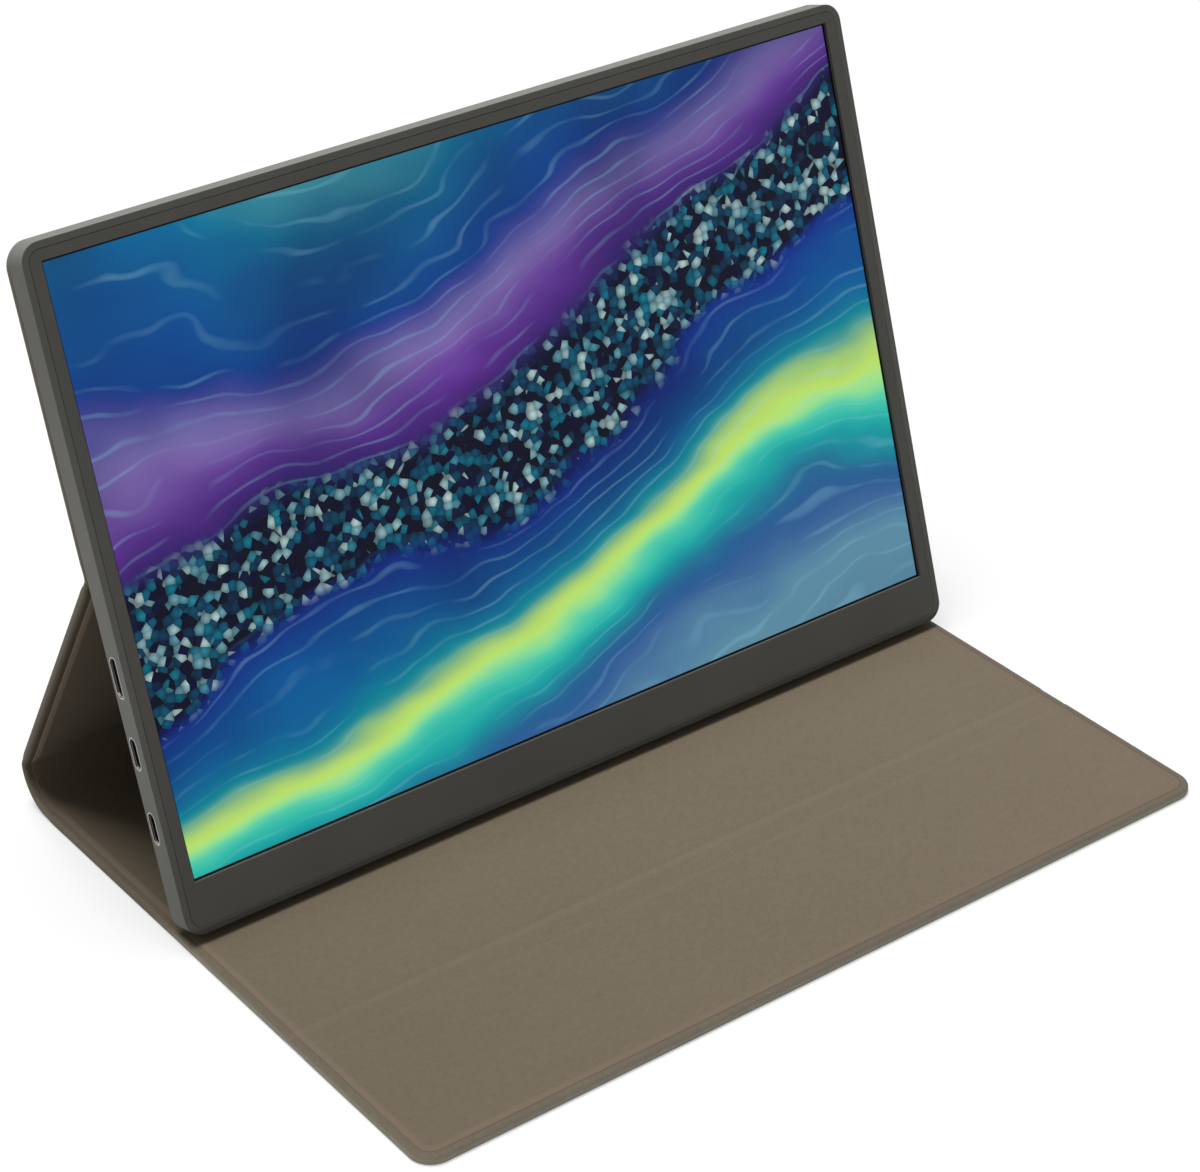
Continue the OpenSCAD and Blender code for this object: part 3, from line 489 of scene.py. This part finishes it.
crease_height = COVER_T - 0.7
back_dir = (math.cos(back_angle), math.sin(back_angle))
lengths = [
    ("front", 0, CUT_FOOT, True, False, ("front_flap", "base"),
     side_point(CREASE_Y - 3, crease_height), side_point(CREASE_Y + 1, crease_height)),
    ("under", CUT_FOOT, CUT_SPINE, False, False, ("base", "spine"),
     side_point(*spine_foot), side_point(*unroll_end)),
    ("spine", CUT_SPINE, CUT_FOLD, False, False, ("spine", "strut"),
     side_point(*corner_start), side_point(*corner_end)),
    ("back", CUT_FOLD, COVER_LEN, False, True, ("strut", "monitor"),
     side_point(FOLD[0] - FOLD_BEND * strut_dir[0], FOLD[1] - FOLD_BEND * strut_dir[1]),
     side_point(FOLD[0] + FOLD_BEND * back_dir[0], FOLD[1] + FOLD_BEND * back_dir[1])),
]
print("cuts along the strip at", round(CUT_FOOT, 1), round(CUT_SPINE, 1), round(CUT_FOLD, 1), "mm")

# %% Make the skin and the lining of every length
GRID_STEP = 6.0
cover_pieces = {}
for part, s0, s1, round0, round1, bodies, start, end in lengths:
    skin_grid = strip_grid(
        COVER_HALF_W, s0, s1, round0, round1, CORNER_R, skin_insets, GRID_STEP, bend_rows)
    cover_pieces["skin", part] = strip_mesh(
        f"cover_{part}_skin", skin_grid, skin_top, skin_bottom, rim_rub_and_light)
    lining_grid = strip_grid(
        COVER_HALF_W - LINING_INSET, s0 + LINING_INSET * round0, s1 - LINING_INSET * round1,
        round0, round1, lining_corner, lining_insets, GRID_STEP, bend_rows)
    cover_pieces["lining", part] = strip_mesh(
        f"cover_{part}_lining", lining_grid, lining_top, lining_bottom, glued_border)
for piece in cover_pieces.values():
    print(piece.name, len(piece.data.polygons), "faces")

# %% [markdown]
# ## Skin of the cover
# The outside is a coated leatherette: small pebbled cells with fine valleys between them, a dull
# shine, and a paler, smoother line along the edge, which is partly rubbed and partly a painted
# highlight, held back behind the monitor's foot as painted shade. The grain could be an image, but a
# cell pattern made from nodes has no seams and no fixed resolution. A second, finer noise breaks up
# the cells. Where the strip is bent, the coating is stretched and looks a little lighter.

# %% Leatherette
def flat_place(tree):
    """Where a point lay before the strip was bent"""
    return node(tree, "ShaderNodeAttribute", attribute_name="flat").outputs["Vector"]


def share(tree, name):
    """A value between 0 and 1 that the strip's vertices carry"""
    return node(tree, "ShaderNodeAttribute", attribute_name=name).outputs["Fac"]


def leatherette():
    """Pebbled coating, paler in the bends, with a pale rim that is partly rub and partly painted
    highlight
    """
    material, tree, shader = new_material("cover_leatherette")
    where = flat_place(tree)
    cells = node(tree, "ShaderNodeTexVoronoi", {"Vector": where, "Scale": 1250.0},
                 feature="SMOOTH_F1").outputs["Distance"]
    pores = noise(tree, where, 5200, 3)
    cloud = noise(tree, where, 28, 4, 0.6)
    rim_share = share(tree, "rim")
    folded = share(tree, "fold")
    colour = mix(tree, spread(tree, cloud, 0.3, 0.7, 0, 1), tone(98, 88, 74), tone(106, 96, 81))
    colour = mix(tree, spread(tree, cells, 0.35, 0.75, 0, 0.35), colour, tone(76, 69, 57))
    rubs = spread(tree, noise(tree, where, 160, 4), 0.35, 0.65, 0.85, 1.0)
    patchy = math_node(tree, "MULTIPLY", rim_share, rubs)
    # Pale rim tone, partly rub and partly a painted highlight
    colour = mix(tree, patchy, colour, tone(168, 161, 144))
    colour = mix(tree, math_node(tree, "MULTIPLY", folded, 0.22), colour, tone(122, 113, 97))
    tree.links.new(colour, shader.inputs["Base Color"])
    gloss = math_node(tree, "MULTIPLY_ADD", rim_share, -0.10, spread(tree, cloud, 0.3, 0.7, 0.56, 0.66))
    tree.links.new(gloss, shader.inputs["Roughness"])
    height = math_node(tree, "MULTIPLY_ADD", pores, 0.25, math_node(tree, "MULTIPLY", cells, -1.0))
    bump = node(tree, "ShaderNodeBump", {"Height": height, "Strength": 0.35, "Distance": 0.00012})
    tree.links.new(bump.outputs[0], shader.inputs["Normal"])
    shader.inputs["Specular IOR Level"].default_value = 0.25
    return material


skin_finish = leatherette()
print("made", skin_finish.name)

# %% [markdown]
# ## Lining of the cover
# The inside is a brushed microfibre in a taupe brown. It has no shine of its own, but its nap gives
# a soft glow at low angles, which is what sheen does. Fine noise makes the fibres, a weaker, larger
# noise the marks that a hand leaves when it strokes the nap, and the folds are a little paler. The
# cloth is painted darker towards its left end and lighter towards its right end, as painted light, and
# darker on the base under the monitor, as painted shade. On the strut, which stands in the light
# from the side, the glued border is painted palest, a painted highlight.

# %% Microfibre
def microfibre():
    """Brushed cloth: fibres, weave and stroked nap, with a paler glued border, and painted light and
    shade
    """
    material, tree, shader = new_material("lining_microfibre")
    where = flat_place(tree)
    fibre = noise(tree, where, 2600, 6, 0.65)
    stretch = node(tree, "ShaderNodeMapping", {"Vector": where, "Scale": (0.75, 1.0, 1.0)}).outputs[0]
    nap = noise(tree, stretch, 560, 5, 0.65)
    marks = noise(tree, where, 22, 3, 0.5)
    colour = mix(tree, spread(tree, marks, 0.3, 0.7, 0, 1), tone(107, 97, 81), tone(113, 102, 86))
    weave = noise(tree, where, 1150, 3, 0.6)
    colour = mix(tree, spread(tree, nap, 0.35, 0.65, 0, 0.7), colour, tone(101, 91, 76))
    colour = mix(tree, spread(tree, weave, 0.38, 0.62, 0, 0.55), colour, tone(119, 107, 91))
    colour = mix(tree, spread(tree, fibre, 0.38, 0.66, 0, 0.5), colour, tone(124, 112, 95))
    folded = math_node(tree, "MULTIPLY", share(tree, "fold"), 0.2)
    colour = mix(tree, folded, colour, tone(130, 119, 102))
    across = node(tree, "ShaderNodeSeparateXYZ", {"Vector": where}).outputs["X"]
    # Painted light: darker towards the left end, lighter towards the right end
    colour = mix(tree, spread(tree, across, -0.13, 0.0, 0.3, 0), colour, tone(96, 87, 73))
    colour = mix(tree, spread(tree, across, 0.0, 0.13, 0, 0.26), colour, tone(128, 116, 99))
    # Painted shade on the base under the leaning monitor
    under_monitor_shade = math_node(tree, "MULTIPLY", share(tree, "under_monitor_shade"), 0.4)
    colour = mix(tree, under_monitor_shade, colour, tone(84, 74, 60))
    # Painted highlight: the glued border is paler where the strip stands upright
    border = mix(tree, share(tree, "upright"), tone(118, 104, 90), tone(152, 136, 117))
    colour = mix(tree, math_node(tree, "MULTIPLY", share(tree, "rim"), 0.9), colour, border)
    tree.links.new(colour, shader.inputs["Base Color"])
    tree.links.new(spread(tree, nap, 0.3, 0.7, 0.86, 0.94), shader.inputs["Roughness"])
    height = math_node(tree, "MULTIPLY_ADD", weave, 0.8, fibre)
    bump = node(tree, "ShaderNodeBump", {"Height": height, "Strength": 0.45, "Distance": 0.00012})
    tree.links.new(bump.outputs[0], shader.inputs["Normal"])
    shader.inputs["Specular IOR Level"].default_value = 0.12
    shader.inputs["Sheen Weight"].default_value = 0.05
    shader.inputs["Sheen Roughness"].default_value = 0.5
    return material


lining_finish = microfibre()
print("made", lining_finish.name)

# %% Put the finishes on the lengths of the cover
for part, s0, s1, round0, round1, bodies, start, end in lengths:
    for layer, finish, slot_name in (("skin", skin_finish, "cover_skin"),
                                     ("lining", lining_finish, "cover_lining")):
        piece = cover_pieces[layer, part]
        piece.data.materials.append(finish)
        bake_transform(piece)
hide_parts("flap_skin")
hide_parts("flap_lining")
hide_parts("base_skin")
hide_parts("base_lining")
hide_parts("spine_skin", "spine_board", "strut_skin")
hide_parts("spine_lining", "strut_lining")
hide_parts("back_panel_skin")
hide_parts("back_panel_lining")

# %% [markdown]
# ## Grey shell
# The monitor's shell is a satin, warm grey casing. Close up, its paint has a fine orange-peel grain,
# and its edges are rounded by a fraction of a millimetre, which is why they show as thin bright
# lines. The CAD edges are perfectly sharp, so the shader rounds them: the bevel node bends the
# normal near an edge. Comparing that normal with the true one also tells where the edges are, and
# there the paint is paler, partly rubbed and partly a painted highlight. A paler band across the
# middle of the monitor's height is a painted highlight, and the foot of the darker front rim is
# painted darker still as painted shade.

# %% Painted finish with paler edges, painted highlights and painted shade
def object_place(tree):
    """Position in the piece's own frame, which is the CAD frame at rest"""
    return node(tree, "ShaderNodeTexCoord").outputs["Object"]


def screen_place(tree):
    """Position in the monitor's own frame: across, depth and height in metres"""
    return node(tree, "ShaderNodeMapping", {
        "Vector": object_place(tree), "Location": (0, 0, FOOT_Z * MM),
        "Rotation": (-LEAN, 0, 0)}, vector_type="TEXTURE").outputs[0]


def painted(name, dark, light, edge_rub_and_highlight_tone, roughness, grain=2600.0, edge=0.00018, specular=0.45, lip=0.0):
    """Satin paint with paler edges, partly rub and partly painted highlight; lip is how much of a
    darker second tone the front rim gets above its foot, where it is painted full dark as shade; a lip
    above 0 also paints a paler mid-height band as highlight
    """
    material, tree, shader = new_material(name)
    where = object_place(tree)
    cloud = noise(tree, where, 35, 4, 0.55)
    fine = noise(tree, where, grain, 4, 0.6)
    rounded = node(tree, "ShaderNodeBevel", {"Radius": edge}, samples=4).outputs[0]
    sharp = node(tree, "ShaderNodeNewGeometry").outputs["Normal"]
    agree = node(tree, "ShaderNodeVectorMath", {0: rounded, 1: sharp}, operation="DOT_PRODUCT")
    # Paler paint on edges, partly rub and partly a painted highlight
    edge_rub_and_highlight = spread(tree, agree.outputs["Value"], 0.995, 0.88, 0, 0.85)
    edge_rub_and_highlight = math_node(tree, "MULTIPLY", edge_rub_and_highlight, spread(tree, noise(tree, where, 240, 3), 0.35, 0.6, 0.35, 1))
    colour = mix(tree, spread(tree, cloud, 0.3, 0.7, 0, 1), dark, light)
    colour = mix(tree, edge_rub_and_highlight, colour, edge_rub_and_highlight_tone)
    if lip:
        parts = node(tree, "ShaderNodeSeparateXYZ", {"Vector": screen_place(tree)})
        depth, height = parts.outputs["Y"], parts.outputs["Z"]
        # Painted highlight: a paler band across the middle of the monitor's height
        mid_height_highlight = math_node(tree, "MULTIPLY", spread(tree, height, 0.02, 0.07, 0, 0.5),
                         spread(tree, height, 0.11, 0.175, 1, 0))
        colour = mix(tree, mid_height_highlight, colour, tone(139, 138, 131))
        facing = node(tree, "ShaderNodeVectorMath", {
            0: node(tree, "ShaderNodeTexCoord").outputs["Normal"],
            1: (0, -math.cos(LEAN), math.sin(LEAN))}, operation="DOT_PRODUCT").outputs["Value"]
        front = math_node(tree, "MULTIPLY", spread(tree, facing, 0.85, 0.95, 0, 1),
                          spread(tree, depth, 0.0003, 0.0006, 1, 0))
        # The front rim's darker second tone, deepened to full at its foot as painted shade
        low = spread(tree, height, 0.0010, 0.0030, 1.0, lip)
        colour = mix(tree, math_node(tree, "MULTIPLY", front, low), colour, tone(58, 57, 53))
    tree.links.new(colour, shader.inputs["Base Color"])
    spots = math_node(tree, "MULTIPLY_ADD", fine, 0.08, roughness - 0.04)
    tree.links.new(math_node(tree, "MULTIPLY_ADD", cloud, 0.06, spots), shader.inputs["Roughness"])
    bump = node(tree, "ShaderNodeBump", {
        "Height": fine, "Strength": 0.12, "Distance": 0.00006, "Normal": rounded})
    tree.links.new(bump.outputs[0], shader.inputs["Normal"])
    shader.inputs["Specular IOR Level"].default_value = specular
    return material


def dress(finish, *names):
    """Puts one finish on every material slot of these CAD nodes"""
    for name in names:
        slots = nodes[name].data.materials
        if len(slots) == 0:
            slots.append(finish)
        for index in range(len(slots)):
            slots[index] = finish
    print(finish.name, "on", ", ".join(names))


shell_finish = painted("shell_satin_grey", tone(113, 113, 108), tone(121, 120, 114),
                       tone(166, 164, 158), 0.46, edge=0.00028, specular=0.25, lip=0.6)
dress(shell_finish, "rear_shell", "power_button", "menu_rocker")
bezel_finish = painted("bezel_matt_grey", tone(84, 83, 79), tone(89, 88, 83), tone(112, 111, 106),
                       0.52, grain=3200.0, edge=0.00012, specular=0.2)
dress(bezel_finish, "front_bezel")

# %% [markdown]
# ## The picture on the display
# The panel glows. What it shows here is a made-up wallpaper of soft ribbons in blue, violet, teal and
# yellow-green, with no scene in it. The ribbons are one wavy height, bent by noise, looked up in a
# row of colours. A sine of the same height draws the pale threads, so they flow with the ribbons, and
# one ribbon is filled with small cut-glass facets, which are the cells of a Voronoi pattern. Round
# the picture runs the thin black border that every panel has. The design is placed in the monitor's
# own frame, so the mapping node first takes off the lean of the screen.

# %% Frame of the display, and the ribbons
SCREEN_W = 0.260
SCREEN_H = 0.1733
CHIN_H = 0.0149
BLACK_EDGE = 0.0007
GLASS_BEHIND = 0.00125
RIBBON_LEAN = math.radians(28)
RIBBON_SCALE = (3.2, 0.0, 6.4)
THREADS = 170.0
FACETS_PER_METRE = 400.0


def colour_row(tree, value, stops):
    """A ramp from (position, colour) pairs"""
    made = node(tree, "ShaderNodeValToRGB", {"Fac": value})
    row = made.color_ramp
    row.interpolation = "CARDINAL"
    while len(row.elements) < len(stops):
        row.elements.new(0.5)
    for element, (position, colour) in zip(row.elements, stops):
        element.position = position
        element.color = colour
    return made.outputs["Color"]


def wallpaper(tree, where):
    """Ribbons of light with fine threads and one ribbon of cut-glass facets: the picture's colour"""
    turned = node(tree, "ShaderNodeMapping", {
        "Vector": where, "Rotation": (0, RIBBON_LEAN, 0), "Scale": RIBBON_SCALE}).outputs[0]
    parts = node(tree, "ShaderNodeSeparateXYZ", {"Vector": turned})
    sway = noise(tree, turned, 1.15, 1.0, 0.4)
    swirl = noise(tree, turned, 2.9, 3.0, 0.55)
    height = math_node(tree, "MULTIPLY_ADD", sway, 0.95, parts.outputs["Z"])
    height = math_node(tree, "MULTIPLY_ADD", swirl, 0.30, height)
    place = spread(tree, height, 0.36, 1.99, 0, 1)
    ground = colour_row(tree, place, [
        (0.00, tone(60, 106, 138)), (0.12, tone(92, 142, 166)), (0.21, tone(34, 102, 150)),
        (0.285, tone(84, 208, 172)), (0.32, tone(188, 228, 108)), (0.36, tone(34, 140, 150)),
        (0.46, tone(8, 58, 142)), (0.60, tone(16, 30, 96)), (0.67, tone(108, 62, 160)),
        (0.72, tone(132, 116, 186)), (0.78, tone(20, 72, 156)), (0.88, tone(44, 142, 166)),
        (1.00, tone(128, 216, 192))])
    depth = spread(tree, noise(tree, where, 13, 2.0), 0.36, 0.62, 0, 0.6)
    blues = math_node(tree, "MULTIPLY", depth, spread(tree, place, 0.36, 0.42, 0, 1))
    ground = mix(tree, blues, ground, tone(5, 24, 84))
    threads = math_node(tree, "SINE", math_node(tree, "MULTIPLY", height, THREADS))
    glow = spread(tree, threads, 0.72, 1, 0.0, 0.16)
    patches = spread(tree, noise(tree, where, 34, 2.0), 0.4, 0.62, 0, 1)
    ground = mix(tree, math_node(tree, "MULTIPLY", glow, patches), ground, tone(150, 216, 240))
    cells = node(tree, "ShaderNodeTexVoronoi", {"Vector": where, "Scale": FACETS_PER_METRE})
    tint = node(tree, "ShaderNodeSeparateColor", {0: cells.outputs["Color"]}).outputs[0]
    facets = colour_row(tree, tint, [
        (0.0, tone(3, 10, 30)), (0.4, tone(8, 40, 76)), (0.75, tone(40, 136, 158)),
        (1.0, tone(196, 226, 224))])
    shade = spread(tree, cells.outputs["Distance"], 0.0, 0.75, 0, 0.7)
    facets = mix(tree, shade, facets, tone(2, 8, 26))
    band = math_node(tree, "MULTIPLY", spread(tree, place, 0.47, 0.49, 0, 1),
                     spread(tree, place, 0.63, 0.60, 0, 1))
    return mix(tree, band, ground, facets)


print("display", SCREEN_W, "by", SCREEN_H, "metres")

# %% The panel that glows
def lit_panel():
    """The wallpaper as emitted light, in a thin black border, under dull glass"""
    material, tree, shader = new_material("display_panel")
    where = screen_place(tree)
    parts = node(tree, "ShaderNodeSeparateXYZ", {"Vector": where})
    side = math_node(tree, "SUBTRACT", SCREEN_W / 2, math_node(tree, "ABSOLUTE", parts.outputs["X"]))
    middle_v = math_node(tree, "SUBTRACT", parts.outputs["Z"], CHIN_H + SCREEN_H / 2)
    ends = math_node(tree, "SUBTRACT", SCREEN_H / 2, math_node(tree, "ABSOLUTE", middle_v))
    inside = math_node(tree, "MINIMUM", side, ends)
    lit = spread(tree, inside, BLACK_EDGE - 0.0001, BLACK_EDGE + 0.0001, 0, 1)
    front = math_node(tree, "LESS_THAN", parts.outputs["Y"], GLASS_BEHIND)
    lit = math_node(tree, "MULTIPLY", lit, front)
    picture = wallpaper(tree, where)
    shown = mix(tree, lit, tone(0, 0, 0), picture)
    tree.links.new(shown, shader.inputs["Emission Color"])
    shader.inputs["Emission Strength"].default_value = 0.92
    dust = noise(tree, where, 900, 3)
    glass = mix(tree, spread(tree, dust, 0.4, 0.8, 0, 1), tone(8, 8, 10), tone(14, 14, 16))
    tree.links.new(glass, shader.inputs["Base Color"])
    tree.links.new(spread(tree, dust, 0.3, 0.8, 0.34, 0.40), shader.inputs["Roughness"])
    haze = node(tree, "ShaderNodeBump", {
        "Height": noise(tree, where, 5000, 2), "Strength": 0.04, "Distance": 0.00003})
    tree.links.new(haze.outputs[0], shader.inputs["Normal"])
    shader.inputs["Specular IOR Level"].default_value = 0.12
    return material


dress(lit_panel(), "lcd_cell")

# %% [markdown]
# ## Sockets and their rims
# Each socket is a folded steel shell with a plastic tongue, seen through a hole with a thin polished
# rim. At this size the inside lies in shade, and the mini video socket shows the dull red face of
# its tongue. Where a surface lies deeper than the mouth it is painted near black, a painted shade, so
# one finish gives the steel lip and the shaded inside.

# %% Polished rims, sockets painted dark inside as shade, and the red tongue
MOUTH_X = -0.1353
BORE_SHADE_X = -0.1351
TONGUE_UP = 0.0753
TONGUE_HALF = 0.0043
TONGUE_FROM = 0.0050
TONGUE_TO = 0.0059


def metal(name, dark, light, roughness, scale=900.0, stretch=(1, 1, 1), bump_strength=0.1):
    """Bare metal with fine brush marks, which a stretch makes longer one way"""
    material, tree, shader = new_material(name)
    where = node(tree, "ShaderNodeMapping", {
        "Vector": object_place(tree), "Scale": stretch}).outputs[0]
    brushed = noise(tree, where, scale, 4, 0.6)
    cloud = noise(tree, where, 60, 3)
    tree.links.new(mix(tree, brushed, dark, light), shader.inputs["Base Color"])
    tree.links.new(math_node(tree, "MULTIPLY_ADD", cloud, 0.14, roughness), shader.inputs["Roughness"])
    bump = node(tree, "ShaderNodeBump", {
        "Height": brushed, "Strength": bump_strength, "Distance": 0.00003})
    tree.links.new(bump.outputs[0], shader.inputs["Normal"])
    shader.inputs["Metallic"].default_value = 1.0
    return material


def socket_finish(name, has_tongue):
    """Steel at the mouth, painted black further in as painted shade, and in the video socket the red
    face of its tongue
    """
    material, tree, shader = new_material(name)
    where = screen_place(tree)
    parts = node(tree, "ShaderNodeSeparateXYZ", {"Vector": where})
    fine = noise(tree, where, 1800, 4)
    # Painted shade: surfaces deeper than the mouth turn near black
    bore_shade = spread(tree, parts.outputs["X"], MOUTH_X, BORE_SHADE_X, 0, 1)
    steel = mix(tree, fine, tone(70, 69, 66), tone(92, 90, 87))
    colour = mix(tree, bore_shade, steel, mix(tree, fine, tone(5, 5, 5), tone(11, 11, 10)))
    if has_tongue:
        within = math_node(tree, "MULTIPLY",
                           math_node(tree, "GREATER_THAN", parts.outputs["Y"], TONGUE_FROM),
                           math_node(tree, "LESS_THAN", parts.outputs["Y"], TONGUE_TO))
        level = math_node(tree, "ABSOLUTE", math_node(tree, "SUBTRACT", parts.outputs["Z"], TONGUE_UP))
        within = math_node(tree, "MULTIPLY", within, math_node(tree, "LESS_THAN", level, TONGUE_HALF))
        colour = mix(tree, within, colour, mix(tree, fine, tone(124, 74, 66), tone(146, 96, 86)))
    tree.links.new(colour, shader.inputs["Base Color"])
    tree.links.new(spread(tree, fine, 0.3, 0.7, 0.38, 0.5), shader.inputs["Roughness"])
    bump = node(tree, "ShaderNodeBump", {"Height": fine, "Strength": 0.1, "Distance": 0.00003})
    tree.links.new(bump.outputs[0], shader.inputs["Normal"])
    return material


dress(metal("polished_rim", tone(242, 240, 236), tone(252, 251, 248), 0.16), "port_rims")
dress(socket_finish("data_socket", False), "usb_c_socket_upper", "usb_c_socket_lower")
dress(socket_finish("video_socket", True), "mini_hdmi_socket")

# %% [markdown]
# ## Parts inside the casing and the cover
# Little of these shows while the monitor is whole, such as the headphone socket in its hole, but
# all are part of the model. Each gets a finish of its own kind: brushed steel, matt moulded plastic,
# green circuit board with the faint pattern of its tracks, amber film, clear and white sheets,
# nickel-plated magnets and grey board.

# %% Moulded, printed and sheet finishes
def moulded(name, dark, light, roughness, scale=1500.0, bump_strength=0.2):
    """Moulded plastic, film or board with a fine grain and a faint cloudiness"""
    material, tree, shader = new_material(name)
    where = object_place(tree)
    fine = noise(tree, where, scale, 4, 0.6)
    cloud = noise(tree, where, 45, 3)
    colour = mix(tree, spread(tree, cloud, 0.3, 0.7, 0, 1), dark, light)
    colour = mix(tree, spread(tree, fine, 0.5, 0.8, 0, 0.4), colour, dark)
    tree.links.new(colour, shader.inputs["Base Color"])
    tree.links.new(math_node(tree, "MULTIPLY_ADD", fine, 0.12, roughness), shader.inputs["Roughness"])
    bump = node(tree, "ShaderNodeBump", {
        "Height": fine, "Strength": bump_strength, "Distance": 0.00005})
    tree.links.new(bump.outputs[0], shader.inputs["Normal"])
    shader.inputs["Specular IOR Level"].default_value = 0.4
    return material


def circuit_board():
    """Green varnish over a faint net of tracks"""
    material, tree, shader = new_material("green_circuit_board")
    where = screen_place(tree)
    tracks = node(tree, "ShaderNodeTexBrick", {
        "Vector": where, "Scale": 260.0, "Mortar Size": 0.04,
        "Color1": (0, 0, 0, 1), "Color2": (0, 0, 0, 1), "Mortar": (1, 1, 1, 1)}).outputs["Fac"]
    fine = noise(tree, where, 700, 3)
    colour = mix(tree, fine, tone(16, 74, 42), tone(24, 92, 54))
    tree.links.new(mix(tree, tracks, colour, tone(44, 122, 78)), shader.inputs["Base Color"])
    tree.links.new(spread(tree, fine, 0.3, 0.7, 0.3, 0.42), shader.inputs["Roughness"])
    bump = node(tree, "ShaderNodeBump", {"Height": tracks, "Strength": 0.2, "Distance": 0.00004})
    tree.links.new(bump.outputs[0], shader.inputs["Normal"])
    return material


steel = metal("brushed_steel", tone(168, 169, 170), tone(192, 193, 194), 0.26, 1400, (0.1, 1, 1))
dress(steel, "panel_tray", "foot_strip", "holding_plate", "rocker_pin", "board_screws", "key_switches")
dress(metal("nickel_magnet", tone(190, 188, 184), tone(210, 208, 203), 0.16), "catch_magnets",
      "foot_magnets", "flap_magnets", "back_panel_magnets")
dress(circuit_board(), "controller_board", "panel_driver_board", "key_board")
dress(moulded("black_moulding", tone(22, 22, 22), tone(32, 32, 31), 0.48), "audio_jack", "board_chips",
      "speaker_left", "speaker_right", "bezel_tape")
dress(moulded("amber_film", tone(150, 92, 34), tone(172, 110, 46), 0.3, 600.0, 0.1), "panel_flexes",
      "panel_ribbon", "key_cable")
dress(moulded("clear_sheet", tone(214, 218, 222), tone(226, 230, 233), 0.16, 400.0, 0.05),
      "optical_films", "light_guide")
dress(moulded("white_sheet", tone(236, 236, 232), tone(244, 244, 240), 0.5, 900.0, 0.1),
      "reflector_sheet")
dress(moulded("emitter_strip", tone(214, 200, 120), tone(236, 226, 160), 0.4, 900.0, 0.1), "led_strip")
dress(moulded("grey_board", tone(134, 126, 110), tone(150, 141, 124), 0.85, 2200.0, 0.4), "flap_board",
      "base_board", "strut_board", "back_panel_board", "spine_board")

# %% [markdown]
# ## Studio
# A pale floor, one large soft light high up and a little behind to the left, and an even sky. The
# sky lights the object gently but shows as plain white to the camera and in reflections. The floor
# reflects light back up, which is what brightens the monitor's sides in the photograph.

# %% Floor and key light
FLOOR_HALF = 6
FLOOR_DROP = 0.0002
KEY_FROM = Vector((-0.08, 0.12, 0.96))
KEY_POWER = 2.85
KEY_ANGLE = math.radians(30)
floor_mesh = bpy.data.meshes.new("studio_floor")
floor_corners = [(x * FLOOR_HALF, y * FLOOR_HALF, 0) for x, y in ((-1, -1), (1, -1), (1, 1), (-1, 1))]
floor_mesh.from_pydata(floor_corners, [], [(0, 1, 2, 3)])
floor = bpy.data.objects.new("studio_floor", floor_mesh)
floor.location.z = -FLOOR_DROP
bpy.context.scene.collection.objects.link(floor)
floor_finish, tree, shader = new_material("studio_floor_white")
seen = node(tree, "ShaderNodeLightPath").outputs["Is Camera Ray"]
pale = mix(tree, seen, (0.48, 0.48, 0.48, 1), (0.92, 0.92, 0.92, 1))
tree.links.new(pale, shader.inputs["Base Color"])
shader.inputs["Roughness"].default_value = 1.0
shader.inputs["Specular IOR Level"].default_value = 0.0
white = node(tree, "ShaderNodeEmission", {"Strength": 1.0})
both = node(tree, "ShaderNodeMixShader", {0: math_node(tree, "MULTIPLY", seen, 0.5)})
tree.links.new(shader.outputs[0], both.inputs[1])
tree.links.new(white.outputs[0], both.inputs[2])
tree.links.new(both.outputs[0], tree.nodes["Material Output"].inputs["Surface"])
floor_mesh.materials.append(floor_finish)

key_data = bpy.data.lights.new("soft_key", "SUN")
key_data.energy = KEY_POWER
key_data.angle = KEY_ANGLE
key = bpy.data.objects.new("soft_key", key_data)
key.rotation_euler = KEY_FROM.to_track_quat("Z", "Y").to_euler()
bpy.context.scene.collection.objects.link(key)
print("floor and key light placed")

# %% Even white sky
SKY_LIGHT = 0.26
world = bpy.data.worlds.new("studio_sky")
bpy.context.scene.world = world
world.use_nodes = True
sky_tree = world.node_tree
path = node(sky_tree, "ShaderNodeLightPath")
shown_white = path.outputs["Is Camera Ray"]
for ray in ("Is Glossy Ray", "Is Transmission Ray"):
    shown_white = math_node(sky_tree, "MAXIMUM", shown_white, path.outputs[ray])
strength = math_node(sky_tree, "MULTIPLY_ADD", shown_white, 1.0 - SKY_LIGHT, SKY_LIGHT)
background = sky_tree.nodes["Background"]
background.inputs["Color"].default_value = (1, 1, 1, 1)
sky_tree.links.new(strength, background.inputs["Strength"])
bpy.context.scene.view_settings.view_transform = "Standard"
print("sky lights with", SKY_LIGHT, "and shows as 1")
